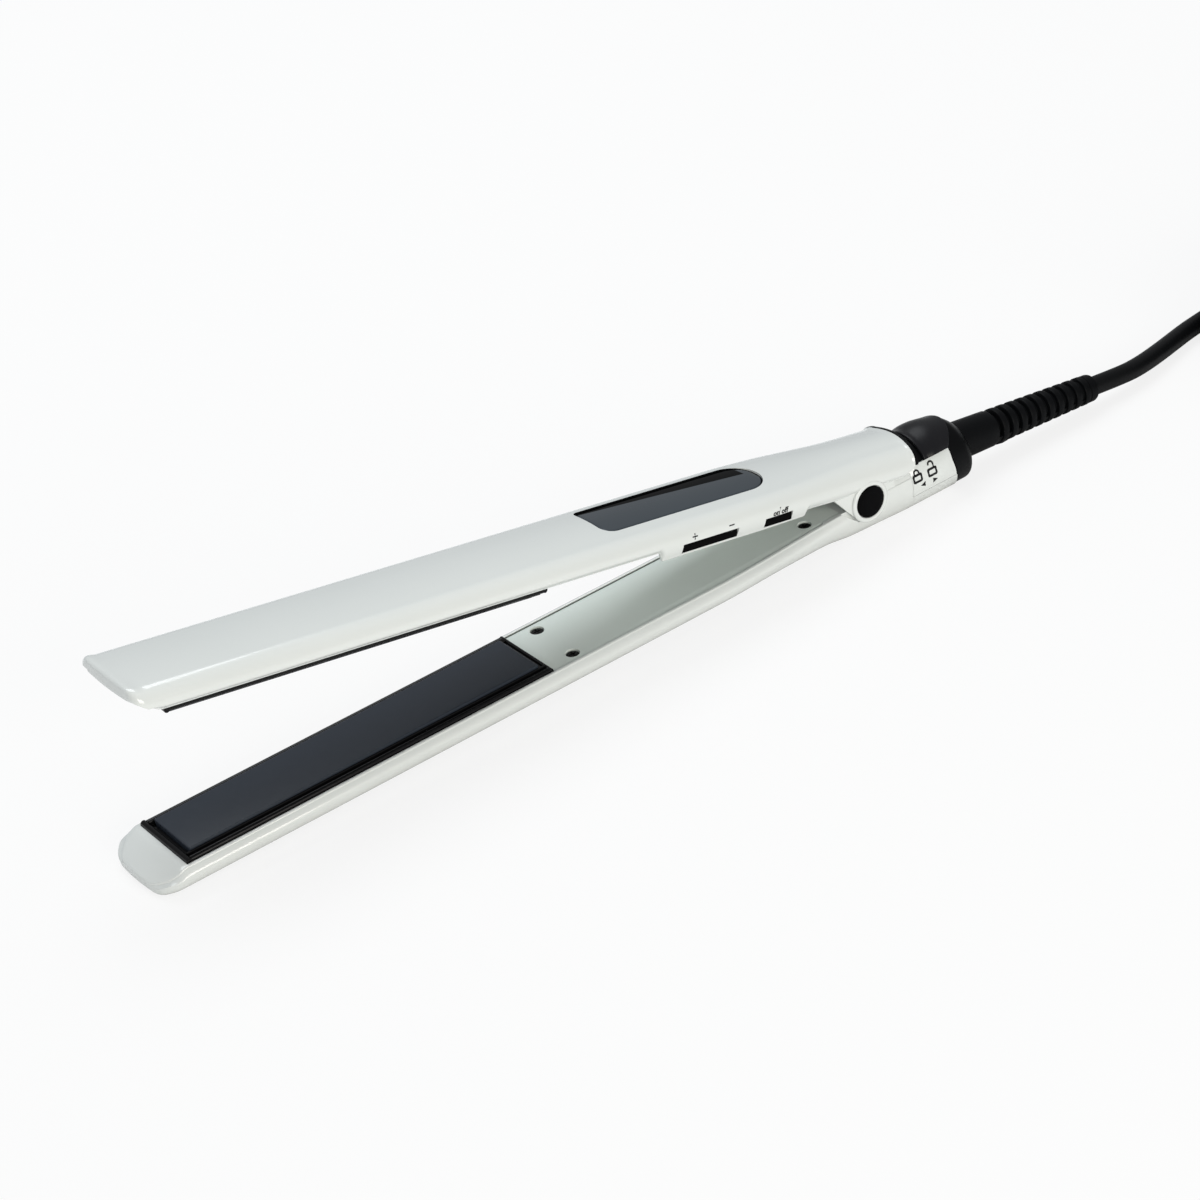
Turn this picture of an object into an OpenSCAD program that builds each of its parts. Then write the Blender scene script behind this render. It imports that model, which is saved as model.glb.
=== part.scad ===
// Hair straightener with two sprung arms, floating hot plates, side controls,
// a lock slide on the rear barrel and a swivel mains lead.
//
// Arm frame: X runs from the tips (-X) to the lead (+X), the hinge axis is at
// X = 0, and depth is counted outward from the plane where the plates meet.
// The lower arm's outside faces -Z. The whole object lies on the plane Z = 0,
// on the tip and the belly of its lower arm, so the arm frame is tilted a little.

/* [Hot plates] */
// Length of each hot plate
plate_len = 120; // [100:1:126]
// From the edge of a plate's working face to the arm's widest line
side_w = 6; // [5.5:0.1:8]
// Thickness of the plate's working face, above its holding flange
plate_face_t = 3; // [2.6:0.1:3.2]
// Thickness of the plate's holding flange
plate_flange_t = 0.9; // [0.7:0.1:1.2]
// How far a plate sinks into its frame when hair is squeezed
plate_float = 0.8; // [0.4:0.1:0.8]
// Gap left between the two plates when the arms are shut
plate_gap = 0.2; // [0.1:0.05:0.6]

/* [Arms] */
// Distance from the hinge axis to the rear end of the plates
plate_rear = 125; // [120:1:140]
// Distance from the front of the plate frame to the tip of the arm
nose_len = 10.6; // [10:0.1:16]
// Width of an arm at its widest
arm_w = 32; // [31:0.5:36]
// How far the rim is drawn in from the arm's widest line, on each side
rim_in = 1.6; // [1:0.1:2]
// Depth of the lower arm's back from the plate plane
lower_back = 10; // [9.5:0.1:12]
// Depth of the upper arm's back from the plate plane
upper_back = 12.2; // [11.6:0.1:14]
// Depth of the lower arm's rim
lower_rim = 2.3; // [2.2:0.1:2.8]
// Depth of the upper arm's rim along the plates
upper_rim = 4; // [3.6:0.1:4.2]
// Depth of the rim of the skirt that holds the buttons
skirt_rim = 1; // [0.8:0.1:1.4]
// Wall of the arm shells
wall = 1.6; // [1.2:0.1:1.8]
// Angle between the arms when they spring open
open_angle = 10.2; // [8:0.2:10.6]

/* [Hinge] */
// Depth of the hinge axis below the plate plane
hinge_drop = 1.4; // [1:0.1:2]
// Diameter of the hinge pin
pin_d = 4; // [3:0.5:4.5]
// Radius of the white ring round each pivot cap
ring_r = 6.85; // [6.4:0.05:7]
// Radius of the black pivot cap
cap_r = 5.4; // [4.8:0.1:5.6]
// How far the outer face of the ring lies inside the arm's widest line
ring_in = 2.5; // [2:0.1:3]
// Running clearance of the pin in its bearings, on the radius
pin_gap = 0.05; // [0.02:0.01:0.1]

/* [Rear barrel] */
// Outer radius of the rear barrel
barrel_r = 11.5; // [11.2:0.1:12]
// Depth of the barrel's axis below the plate plane
barrel_drop = 6.1; // [5.8:0.1:6.4]
// Wall of the rear barrel
barrel_wall = 1.9; // [1.6:0.1:2.2]
// Distance from the hinge to the rear end of the white barrel
barrel_end = 36.5; // [36:0.5:40]
// Length of the black end collar
collar_len = 9.5; // [8:0.5:12]
// How far the lock slides towards the tips
lock_travel = 4.5; // [2:0.5:4.5]
// Length of the upper arm's tail behind the hinge
tail_len = 18; // [17:0.1:20]

/* [Controls] */
// Length of the temperature rocker
rocker_len = 21; // [16:0.5:22]
// Length of the power button
power_len = 10.6; // [8:0.2:12]
// Height of the rocker and of the button
key_h = 2.8; // [2.2:0.1:3]
// Travel of the power button
power_travel = 0.6; // [0.3:0.1:0.6]
// Length of the display window
window_len = 62.6; // [50:0.2:66]
// Width of the display window
window_w = 18; // [14:0.5:19]

/* [Lead] */
// Diameter of the mains cord
cord_d = 6.4; // [6:0.1:6.6]
// Diameter of the bend guard at its root
guard_root_d = 12.7; // [11.6:0.1:12.8]
// Diameter of the bend guard at its tip
guard_tip_d = 9.2; // [8.8:0.1:9.8]
// Length of the bend guard outside the collar
guard_len = 60; // [50:1:62]
// Downward angle of the bend guard from the lower arm
guard_droop = 5.82; // [5.82:0.01:5.82]
// Straight run of the stored hank between its two folds
hank_run = 70; // [70:1:76]
// Least radius of the hank's folds
fold_r = 18.8; // [18.8:0.1:19.2]

/* [Hidden] */
$fn = 48;

// Colours of the finished pieces
WHITE = [0.86, 0.88, 0.86];
SILVER = [0.66, 0.70, 0.67];
BLACK = [0.05, 0.05, 0.06];
PLATE = [0.20, 0.22, 0.26];
STEEL = [0.72, 0.73, 0.75];
BRASS = [0.80, 0.65, 0.30];
BOARD = [0.10, 0.35, 0.18];
SMOKE = [0.22, 0.24, 0.28];

// Small clearances
eps = 0.01;
seat_gap = 0.15;
slide_gap = 0.25;
swing_gap = 0.3;

// Places along the arm
plate_front = -plate_rear - plate_len;
frame_margin = 3;
frame_front = plate_front - frame_margin;
frame_rear = -plate_rear + frame_margin;
tip_x = frame_front - nose_len;
tail_x = tail_len;
collar_x = barrel_end + collar_len;
plate_clear = plate_gap / 2;
rim_w = arm_w - 2 * rim_in;
plate_w = arm_w - 2 * side_w;
ring_y = arm_w / 2 - ring_in;

// The plane that the object rests on passes under the tip and the collar
collar_r = barrel_r - 0.3;
rest_front = tip_x + 3.6;
rest_rear = collar_x - 3;
lie_tilt = atan2(barrel_drop + collar_r - lower_back, rest_rear - rest_front);
hinge_height = lower_back - rest_front * tan(lie_tilt);

// Puts arm-frame children on the surface
module lie() rotate([0, -lie_tilt, 0]) translate([0, 0, hinge_height]) children();

// Puts closed upper-arm children in the open rest position
module swing(angle) translate([0, 0, -hinge_drop]) rotate([0, angle, 0])
    translate([0, 0, hinge_drop]) children();
module upper() lie() swing(open_angle) children();

// Turns a shape drawn for depth below the plates into one above them
module flip() mirror([0, 0, 1]) children();

// A cylinder along Y, and one along X, centred on the given point
module along_y(r, y0, y1, x = 0, z = 0) translate([x, y0, z]) rotate([-90, 0, 0])
    cylinder(r = r, h = y1 - y0);
module along_x(r, x0, x1, y = 0, z = 0) translate([x0, y, z]) rotate([0, 90, 0])
    cylinder(r = r, h = x1 - x0);
module block(x, y, z) translate([x[0], y[0], z[0]]) cube([x[1] - x[0], y[1] - y[0], z[1] - z[0]]);

// A flat plate seen from above, with rounded corners
module rounded(x0, x1, half_w, r, z0, z1) translate([0, 0, z0]) linear_extrude(z1 - z0)
    union() {
        translate([x0 + r, -half_w]) square([x1 - x0 - 2 * r, 2 * half_w]);
        translate([x0, -half_w + r]) square([x1 - x0, 2 * half_w - 2 * r]);
        for (x = [x0 + r, x1 - r], y = [-half_w + r, half_w - r]) translate([x, y]) circle(r);
    }

// ---- Arm skins ------------------------------------------------------------
// A station is [x, rim half width, rim depth, widest half width, back depth, shoulder radius, crown].
// The outline of a station runs from one rim round the back to the other rim.
shoulder_steps = 5;
function half_outline(s) = let (r = min(s[5], s[4] - s[2] - 0.4)) concat(
    [[s[1], s[2]]],
    [for (i = [0 : shoulder_steps]) let (a = 90 * i / shoulder_steps)
        [s[3] - r + r * cos(a), s[4] - s[6] - r + r * sin(a)]],
    [[(s[3] - r) * 0.5, s[4] - s[6] * 0.25]]);
function outline(s) = let (h = half_outline(s), n = len(h)) concat(
    h, [[0, s[4]]], [for (i = [n - 1 : -1 : 0]) [-h[i][0], h[i][1]]]);
function ring_points(s) = [for (p = outline(s)) [s[0], p[0], -p[1]]];

module skin(stations) {
    rings = [for (s = stations) ring_points(s)];
    m = len(rings[0]);
    n = len(rings);
    points = [for (ring = rings) for (p = ring) p];
    sides = [for (i = [0 : n - 2]) for (j = [0 : m - 1]) let (k = (j + 1) % m)
        each [[i * m + j, i * m + k, (i + 1) * m + k], [i * m + j, (i + 1) * m + k, (i + 1) * m + j]]];
    front = [for (j = [m - 1 : -1 : 0]) j];
    rear = [for (j = [0 : m - 1]) (n - 1) * m + j];
    polyhedron(points, concat([front], sides, [rear]), convexity = 6);
}

// Rounded nose: how the width, the rim and the back draw in over the last millimetres
nose_r = 7.5;
upper_nose_r = 4;
nose_edge = 6.4;
function tip_offsets(plan_r) = [0, 0.05 * plan_r, 0.18 * plan_r, 0.4 * plan_r, 0.68 * plan_r, plan_r, nose_len - 1];
function arc_in(d, r) = d >= r ? 0 : r - sqrt(r * r - (r - d) * (r - d));
function nose_rim(d, rim, back) = let (low = min(nose_edge + rim - lower_rim, back - 3))
    low + (rim - low) * min(1, d / (nose_len - 1.5));
function nose_station(d, rim, back, r, plan_r) = [tip_x + d,
    rim_w / 2 - arc_in(d, plan_r) - (d < plan_r ? 1.2 * (1 - d / plan_r) : 0),
    nose_rim(d, rim, back), arm_w / 2 - arc_in(d, plan_r),
    back - arc_in(d + 0.3, 3), r, 0.5 * min(1, d / plan_r)];

shoulder_r = 4.5;
saddle_front = 18.8;
saddle_half = 9.1;
barrel_x = 10;
lower_stations = concat(
    [for (d = tip_offsets(nose_r)) nose_station(d, lower_rim, lower_back, shoulder_r, nose_r)],
    [[-60, rim_w / 2, lower_rim, arm_w / 2, lower_back, shoulder_r, 0.5],
     [-44, rim_w / 2 - 0.6, lower_rim, arm_w / 2 - 0.6, lower_back + 0.1, shoulder_r + 0.3, 0.5],
     [-30, rim_w / 2 - 1.6, lower_rim, arm_w / 2 - 1.6, lower_back + 1.2, 5.6, 0.8],
     [-16, barrel_r + 0.4, lower_rim, barrel_r + 1.6, lower_back + 3.2, 8, 0.6],
     [-4, barrel_r - 0.1, lower_rim, barrel_r + 0.6, lower_back + 5.9, 10, 0.3],
     [barrel_x, barrel_r - 0.4, lower_rim, barrel_r, barrel_drop + barrel_r - 0.5, barrel_r - 0.4, 0],
     [barrel_x + 10, barrel_r - 0.4, lower_rim, barrel_r, barrel_drop + barrel_r, barrel_r - 0.2, 0],
     [barrel_end, barrel_r - 0.4, lower_rim, barrel_r, barrel_drop + barrel_r, barrel_r - 0.2, 0]]);

upper_shoulder = 5;
upper_wall = wall * 0.9;
skirt_front = -82.5;
skirt_rear = -27;
skirt_ramp = 1.4;
function upper_station(x, rim, inset, r) =
    [x, rim_w / 2 - inset, rim, arm_w / 2 - inset * 1.2, upper_back, r, 0.8];
upper_stations = concat(
    [for (d = tip_offsets(upper_nose_r)) nose_station(d, upper_rim, upper_back - 0.4, upper_shoulder, upper_nose_r)],
    [upper_station(skirt_front, upper_rim, 0, upper_shoulder),
     upper_station(skirt_front + skirt_ramp, skirt_rim, 0, upper_shoulder),
     upper_station(-44, skirt_rim, 0, upper_shoulder),
     upper_station(skirt_rear, skirt_rim, 0.5, 5.4),
     upper_station(skirt_rear + skirt_ramp, 2.8, 0.55, 5.5),
     upper_station(-12, 2.1, 1.55, 6.2),
     upper_station(0, 2.1, 2.2, 6.8),
     upper_station(tail_x - 6, 2.1, 2.25, 7),
     upper_station(tail_x - 3, 2.9, 2.25, 7),
     upper_station(tail_x - 1, 4.3, 2.3, 6.6),
     upper_station(tail_x, 5.8, 2.4, 5.4)]);

// The hollow inside a skin: drawn in by the wall, and open past the rim
function hollowed(s, w, lift) = [s[0], s[1] - w * 0.75, s[2] + lift, s[3] - w, s[4] - w, max(1, s[5] - w), s[6]];
function from_x(stations, x0, x1) = [for (s = stations) if (s[0] > x0 && s[0] < x1) s];
function moved(s, x) = [x, s[1], s[2], s[3], s[4], s[5], s[6]];
rim_cut = 2;

function hollow_of(stations, w) = let (
        nose = from_x(stations, tip_x + w, frame_front - 0.2),
        body = from_x(stations, frame_front, 1000),
        at_front = body[0])
    concat([for (s = nose) hollowed(s, w, w)],
        [hollowed(moved(at_front, frame_front - 0.2), w, w)],
        [hollowed(moved(at_front, frame_front - 0.1), w, -rim_cut)],
        [for (s = body) hollowed(s, s[4] > barrel_drop + barrel_r - 1 ? barrel_wall : w, -rim_cut)]);

// ---- Things that sit inside both arms ---------------------------------------
frame_w = rim_w - 1.5 * wall - 0.2;
frame_top = 2;
frame_depth = 5.6;
flange_w = plate_w + 1.8;
heater_len = 70;
heater_w = plate_w / 2;
heater_t = 1.7;
heater_depth = plate_clear + plate_face_t + plate_flange_t - 0.6;
clip_t = 0.5;
pad_in = plate_len * 11 / 60;
pad_x = [plate_front + pad_in, -plate_rear - pad_in];

cover_front = frame_rear + seat_gap;
cover_edge = 0.5;
cover_t = 1.5;
screw_r = 1.3;
screw_head_r = 2.2;
screw_head_t = 0.7;
screw_front_x = frame_rear + 9.7;
screw_front_y = rim_w / 2 - 5.3;
screw_rear_x = -21;
screw_rear_y = barrel_r - 5.2;
screw_places = [[screw_front_x, screw_front_y], [screw_front_x, -screw_front_y],
    [screw_rear_x, screw_rear_y], [screw_rear_x, -screw_rear_y]];

// A column that a cover screw bites into, from the cover down to the shell's back
small_fn = 12;
module screw_posts(top, back) for (p = screw_places)
    translate([p[0], p[1], -back]) cylinder(r = 2.6, h = back - top, $fn = small_fn);
module screw_pilots(top, back) for (p = screw_places)
    translate([p[0], p[1], -back + wall + 0.4]) cylinder(r = screw_r + 0.1, h = back, $fn = small_fn);

module screws(top) color(BLACK) for (p = screw_places) translate([p[0], p[1], 0]) {
    difference() {
        translate([0, 0, -top - 0.4 - screw_head_t]) cylinder(r = screw_head_r - 0.2, h = screw_head_t, $fn = small_fn);
        translate([-1.2, -0.3, -top - 0.7]) cube([2.4, 0.6, 2]);
    }
    translate([0, 0, -top - 0.4 - screw_head_t - 3]) cylinder(r = screw_r, h = 3 + eps, $fn = small_fn);
}

// The black carrier that the plate floats in
module plate_frame() color(BLACK) {
    lip = plate_w / 2 + slide_gap;
    flange_half = flange_w / 2 + slide_gap;
    flange_top = plate_clear + plate_face_t - seat_gap;
    difference() {
        union() {
            block([frame_front, frame_rear], [-frame_w / 2, frame_w / 2], [-frame_depth, -frame_top]);
            // A rounded bead along each edge and a half round bar across each end
            for (y = [-1, 1]) along_x(0.8, frame_front + 1.9, frame_rear - 1.2, y * (frame_w / 2 - 1), -frame_top, $fn = small_fn);
            along_y(0.9, -frame_w / 2, frame_w / 2, frame_front + 0.9, -frame_top, $fn = small_fn);
            along_y(0.6, -frame_w / 2, frame_w / 2, frame_rear - 0.6, -frame_top, $fn = small_fn);
        }
        block([plate_front - slide_gap, -plate_rear + slide_gap], [-lip, lip], [-10, 0]);
        block([plate_front - 0.6 - slide_gap, -plate_rear + 0.6 + slide_gap],
            [-flange_half, flange_half], [-10, -flange_top]);
    }
}

module hot_plate() color(PLATE) difference() {
    union() {
        block([plate_front, -plate_rear], [-plate_w / 2, plate_w / 2],
            [-plate_clear - plate_face_t - eps, -plate_clear]);
        block([plate_front - 0.6, -plate_rear + 0.6], [-flange_w / 2, flange_w / 2],
            [-plate_clear - plate_face_t - plate_flange_t, -plate_clear - plate_face_t]);
    }
    // Channel for the heating element
    block([-plate_rear - plate_len / 2 - heater_len / 2 - 3, -plate_rear - plate_len / 2 + heater_len / 2 + 3],
        [-heater_w / 2 - 0.2, heater_w / 2 + 0.2], [-10, -heater_depth + 1.2]);
}

module heater() color([0.85, 0.83, 0.78]) translate([0, 0, 1.1])
    block([-plate_rear - plate_len / 2 - heater_len / 2, -plate_rear - plate_len / 2 + heater_len / 2],
        [-heater_w / 2, heater_w / 2], [-heater_depth - heater_t, -heater_depth]);

clip_half = plate_w * 0.425;
clip_top = heater_depth + heater_t - 1.1 + 0.1;
module heater_clip() color(STEEL) {
    mid = -plate_rear - plate_len / 2;
    for (x = [mid - plate_len / 5, mid, mid + plate_len / 5]) {
        block([x - heater_w / 2, x + heater_w / 2], [-clip_half, clip_half], [-clip_top - clip_t, -clip_top]);
        for (y = [-clip_half, clip_half - 0.8 * clip_t]) block([x - heater_w / 2, x + heater_w / 2], [y, y + 0.8 * clip_t], [-clip_top - eps, -plate_clear - plate_face_t - plate_flange_t - 0.05]);
    }
}

// Silicone pads between the shell's floor and the plate's flange
module plate_pads(floor_depth) color([0.75, 0.35, 0.25]) for (x = pad_x)
    block([x - plate_len / 20, x + plate_len / 20], [-plate_w * 0.3, plate_w * 0.3], [-floor_depth, -plate_clear - plate_face_t - plate_flange_t - 0.05]);

module thermistor() color([0.15, 0.15, 0.15]) {
    x = -plate_rear - 12;
    along_x(0.9, x - 4, x + 4, 7.2, -plate_clear - plate_face_t - plate_flange_t - 1.0, $fn = small_fn);
}

// The flat inner cover behind the plates, with a chamfered edge
cover_half = rim_w / 2 - wall * 0.75 - 0.2;
cover_bend = -58;
module inner_cover(depth, rear, rear_w) color(SILVER) difference() {
    hull() for (inset = [0, cover_edge]) translate([0, 0, -depth - cover_t])
        linear_extrude(cover_t - cover_edge + inset) polygon([
            [cover_front + inset, -cover_half + inset], [cover_front + inset, cover_half - inset],
            [cover_bend, cover_half - inset], [rear, rear_w - inset],
            [rear, -rear_w + inset], [cover_bend, -cover_half + inset]]);
    for (p = screw_places) translate([p[0], p[1], 0]) {
        translate([0, 0, -depth - cover_t - 1]) cylinder(r = screw_r + 0.2, h = 5, $fn = small_fn);
        translate([0, 0, -depth - 0.4 - screw_head_t - 0.02]) cylinder(r = screw_head_r, h = 5, $fn = small_fn);
    }
}

// ---- Ear outline: the teardrop that carries the pivot ring --------------------
ear_tip = [-15.5, 3.2];
module ear_outline(grow = 0) union() {
    translate([0, -hinge_drop]) circle(ring_r + grow);
    polygon([[ear_tip[0] - grow, ear_tip[1] + 2], [ear_tip[0] - grow, ear_tip[1] - grow * 1.6],
        [(ring_r + grow) * cos(228), -hinge_drop + (ring_r + grow) * sin(228)], [0, -hinge_drop],
        [(ring_r + grow) * cos(20), ear_tip[1]], [ring_r + grow + 3, ear_tip[1] + 2]]);
}
module ear_slab(y0, y1, grow = 0) for (side = [0, 1]) mirror([0, side, 0])
    translate([0, y1, 0]) rotate([90, 0, 0]) linear_extrude(y1 - y0) ear_outline(grow);

ear_in = ring_y - 2.3;
cheek_out = ear_in - 1.3;
cheek_in = 6.6;

// ---- Lower arm ------------------------------------------------------------
parting = 9.4;
wall_top = 1.5;
guard_in = cheek_out + 0.1;
guard_out = ear_in - 0.3;
module lower_shell() color(WHITE) lie() difference() {
    union() {
        difference() {
            union() {
                difference() {
                    skin(lower_stations);
                    skin(hollow_of(lower_stations, wall));
                    // Above the belly the barrel's sides belong to the saddle
                    block([saddle_front - 0.2, 60], [-30, 30], [-parting, 10]);
                }
                intersection() {
                    screw_posts(lower_cover_depth + cover_t + 0.05, lower_back + 2);
                    skin(lower_stations);
                }
                // Barrel walls that rise inside the tail
                intersection() {
                    ring_sector(barrel_r - 0.05, barrel_in, barrel_x - 1, saddle_front - 0.25);
                    block([0, 60], [-20, 20], [-barrel_drop, wall_top]);
                }
            }
            screw_pilots(lower_rim + 2, lower_back);
            // Room for the swinging ears and their rings
            for (a = [0, open_angle / 2, open_angle]) swing(a) ear_slab(cheek_in, arm_w, swing_gap);
        }
        // Thin cheeks that close the inner side of that room
        for (side = [0, 1]) mirror([0, side, 0]) difference() {
            union() {
                along_y(ring_r - 0.6, guard_in, guard_out, 0, -hinge_drop, $fn = small_fn);
                block([-17, barrel_x + 2], [guard_in, guard_out], [-lower_back + 0.4, -lower_rim]);
            }
            along_y(pin_d / 2 + 0.3, 0, arm_w, 0, -hinge_drop, $fn = small_fn);
        }
    }
    // The flat that the belly rests on
    rotate([0, lie_tilt, 0]) translate([-400, -50, -hinge_height * cos(lie_tilt) - 40]) cube([800, 100, 40]);
}

lower_cover_depth = lower_rim + 0.35;
module lower_inner_cover() lie() difference() {
    inner_cover(lower_cover_depth, -9.5, barrel_r - 2.1);
    ear_slab(cheek_out, arm_w, swing_gap);
}
module lower_cover_screws() lie() screws(lower_cover_depth);
module lower_plate_frame() lie() plate_frame();
module lower_plate() lie() hot_plate();
module lower_heater() lie() heater();
module lower_heater_clip() lie() heater_clip();
module lower_thermistor() lie() thermistor();
module lower_plate_pads() lie() plate_pads(lower_back - wall - 0.22);

// ---- Upper arm ------------------------------------------------------------
window_rear = -33.8;
window_y = 1.4;
window_mid = window_rear - window_len / 2;
lens_t = 1.3;
lens_seat = upper_back - lens_t;
module window_outline(inset) {
    half = window_w / 2 - inset;
    x0 = window_mid - window_len / 2 + inset;
    x1 = window_mid + window_len / 2 - inset;
    front_r = 4.5 - inset;
    rear_r = half - 0.5;
    translate([0, window_y]) union() {
        translate([x0 + front_r, -half]) square([x1 - x0 - front_r - rear_r, 2 * half]);
        translate([x0, -half + front_r]) square([x1 - x0 - rear_r, 2 * half - 2 * front_r]);
        for (y = [-half + front_r, half - front_r]) translate([x0 + front_r, y]) circle(front_r);
        translate([x1 - rear_r, -half + rear_r]) square([rear_r, 2 * half - 2 * rear_r]);
        for (y = [-half + rear_r, half - rear_r]) translate([x1 - rear_r, y]) circle(rear_r);
    }
}

rocker_x = -64.4;
power_x = -38.4;
key_z = skirt_rim + 1.3 + key_h / 2;
key_face = rim_w / 2 + 0.95;
key_back = rim_w / 2 - 1.6;
nub_in = rim_w / 2 - 4.1;
switch_out = rim_w / 2 - 4.5;
switch_in = rim_w / 2 - 6.2;
rocker_pin_y = rim_w / 2 - 2.5;
rocker_pin_r = 0.6;
module key_hole(x, length) block([x - length / 2 - 0.2, x + length / 2 + 0.2], [-arm_w, -key_back + 0.8],
    [key_z - key_h / 2 - 0.2, key_z + key_h / 2 + 0.2]);

module upper_shell() color(WHITE) upper() difference() {
    union() {
        flip() difference() {
            skin(upper_stations);
            skin(hollow_of(upper_stations, upper_wall));
        }
        intersection() {
            flip() screw_posts(upper_cover_depth + cover_t + 0.05, upper_back + 2);
            flip() skin(upper_stations);
        }
        // Boss that holds the rocker's pin
        intersection() {
            translate([rocker_x, -rocker_pin_y, key_z + key_h / 2 + 0.2]) cylinder(r = 1.6, h = 20, $fn = small_fn);
            flip() skin(upper_stations);
        }
        // Ears with their raised rings
        ear_slab(ear_in, ring_y - 0.5);
        for (side = [0, 1]) mirror([0, side, 0]) along_y(ring_r, ear_in, ring_y, 0, -hinge_drop);
    }
    flip() screw_pilots(upper_rim + 2, upper_back);
    along_y(pin_d / 2 + eps, -arm_w, arm_w, 0, -hinge_drop);
    for (side = [0, 1]) mirror([0, side, 0]) along_y(cap_r + 0.1, ring_y - 1.2, ring_y + 1, 0, -hinge_drop);
    translate([0, 0, lens_seat - 0.05]) linear_extrude(10) window_outline(0);
    translate([0, 0, lens_seat - 4]) linear_extrude(10) window_outline(1.4, $fn = small_fn);
    translate([rocker_x, -rocker_pin_y, key_z]) cylinder(r = rocker_pin_r + 0.02, h = 6, $fn = small_fn);
    key_hole(rocker_x, rocker_len);
    key_hole(power_x, power_len);
}

upper_cover_depth = 5;
module upper_inner_cover() upper() difference() {
    flip() inner_cover(upper_cover_depth, -17.5, rim_w / 2 - 3.8);
    // Room for the rocker, the button and their switches
    block([rocker_x - rocker_len / 2 - 3, power_x + power_len / 2 + 3], [-arm_w, -switch_in + 0.3], [0, upper_back]);
}
module upper_cover_screws() upper() flip() screws(upper_cover_depth);
module upper_plate_frame() upper() flip() plate_frame();
module upper_plate() upper() flip() hot_plate();
module upper_heater() upper() flip() heater();
module upper_heater_clip() upper() flip() heater_clip();
module upper_thermistor() upper() flip() thermistor();
module upper_plate_pads() upper() flip() plate_pads(upper_back - upper_wall - 0.65);

// The smoked lens lies flush in the window, on a ledge that is wider than the hole
module display_window() color(SMOKE) upper() intersection() {
    translate([0, 0, lens_seat]) linear_extrude(10) window_outline(0.12);
    flip() skin(upper_stations);
}
board_z = 6.9;
board_over = 7.6;
board_back = 9;
board_in = 5.8;
board_t = 1.0;
module display_module() color([0.55, 0.62, 0.52]) upper()
    block([window_mid - window_len * 0.32, window_mid + window_len * 0.32], [window_y - window_w * 0.4, window_y + window_w * 0.4], [board_z + board_t + 0.05, lens_seat - 0.3]);
module circuit_board() color(BOARD) upper() difference() {
    block([window_mid - window_len / 2 - board_over, window_rear + board_back], [-arm_w / 2 + board_in, arm_w / 2 - board_in], [board_z, board_z + board_t]);
    for (p = screw_places) translate([p[0], p[1], 0]) cylinder(r = 3, h = 20, $fn = small_fn);
}
// Two small switches behind the rocker's ends and one behind the power button
module board_switches() color([0.2, 0.2, 0.22]) upper() {
    for (x = [rocker_x - 7.5, rocker_x + 7.5, power_x])
        block([x - 2.5, x + 2.5], [-switch_out, -switch_in], [key_z - 1.6, board_z - 0.05]);
}

// The rocker tips on a pin at its middle, and each end pushes one switch
module temp_rocker() color(BLACK) upper() difference() {
    union() {
        block([rocker_x - rocker_len / 2, rocker_x + rocker_len / 2], [-key_face, -key_back],
            [key_z - key_h / 2, key_z + key_h / 2]);
        block([rocker_x - 1.9, rocker_x + 1.9], [-key_back - 0.4, -nub_in], [key_z - key_h / 2, key_z + key_h / 2]);
        for (x = [rocker_x - 7.5, rocker_x + 7.5])
            block([x - 1, x + 1], [-key_back - 0.4, -nub_in], [key_z - 0.8, key_z + 0.8]);
    }
    translate([rocker_x, -rocker_pin_y, key_z - 5]) cylinder(r = rocker_pin_r + pin_gap, h = 10);
}
module rocker_pin() color(STEEL) upper() translate([rocker_x, -rocker_pin_y, key_z - key_h / 2])
    cylinder(r = rocker_pin_r, h = key_h / 2 + 5.5, $fn = small_fn);
module power_button() color(BLACK) upper() union() {
    block([power_x - power_len / 2, power_x + power_len / 2], [-key_face, -key_back],
        [key_z - key_h / 2, key_z + key_h / 2]);
    block([power_x - 1, power_x + 1], [-key_back - 0.4, -nub_in - power_travel + 0.3], [key_z - 0.8, key_z + 0.8]);
}

module hinge_pin() color(STEEL) upper() along_y(pin_d / 2, -ring_y + 1.3, ring_y - 1.3, 0, -hinge_drop);
module pivot_caps() color(BLACK) upper() for (side = [0, 1]) mirror([0, side, 0]) {
    along_y(cap_r, ring_y - 1.15, ring_y + 0.1, 0, -hinge_drop);
}
// Black trim round the rear end of the tail
tail_end = upper_stations[len(upper_stations) - 1];
module tail_trim() color(BLACK) upper() translate([tail_x + 0.05, 0, 0]) rotate([90, 0, 90])
    linear_extrude(1.5) difference() {
        polygon([for (p = outline(tail_end)) [p[0] * 1.015, p[1] + 0.15]]);
        polygon([for (p = outline(hollowed(tail_end, upper_wall, -rim_cut))) [p[0], p[1]]]);
    }

// ---- Rear barrel ------------------------------------------------------------
barrel_in = barrel_r - barrel_wall;
module ring_sector(r_out, r_in, x0, x1) difference() {
    along_x(r_out, x0, x1, 0, -barrel_drop);
    along_x(r_in, x0 - 1, x1 + 1, 0, -barrel_drop);
}
// Cheeks that carry the pin, on a foot that stands on the belly's floor
block_r = barrel_in - 0.45;
block_rear = 7.4;
module hinge_block() color(BLACK) lie() difference() {
    union() {
        for (side = [0, 1]) mirror([0, side, 0]) along_y(5.6, cheek_in, cheek_out, 0, -hinge_drop, $fn = small_fn);
        intersection() {
            block([-5, block_rear], [-block_r, block_r], [-lower_back - 2.6, -hinge_drop]);
            along_x(block_r, -6, block_rear, 0, -barrel_drop, $fn = small_fn);
        }
    }
    block([-7, block_rear + 1], [-cheek_in, cheek_in], [-lower_back - 1.4, 10]);
    along_y(pin_d / 2 + pin_gap, -20, 20, 0, -hinge_drop);
}
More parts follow.
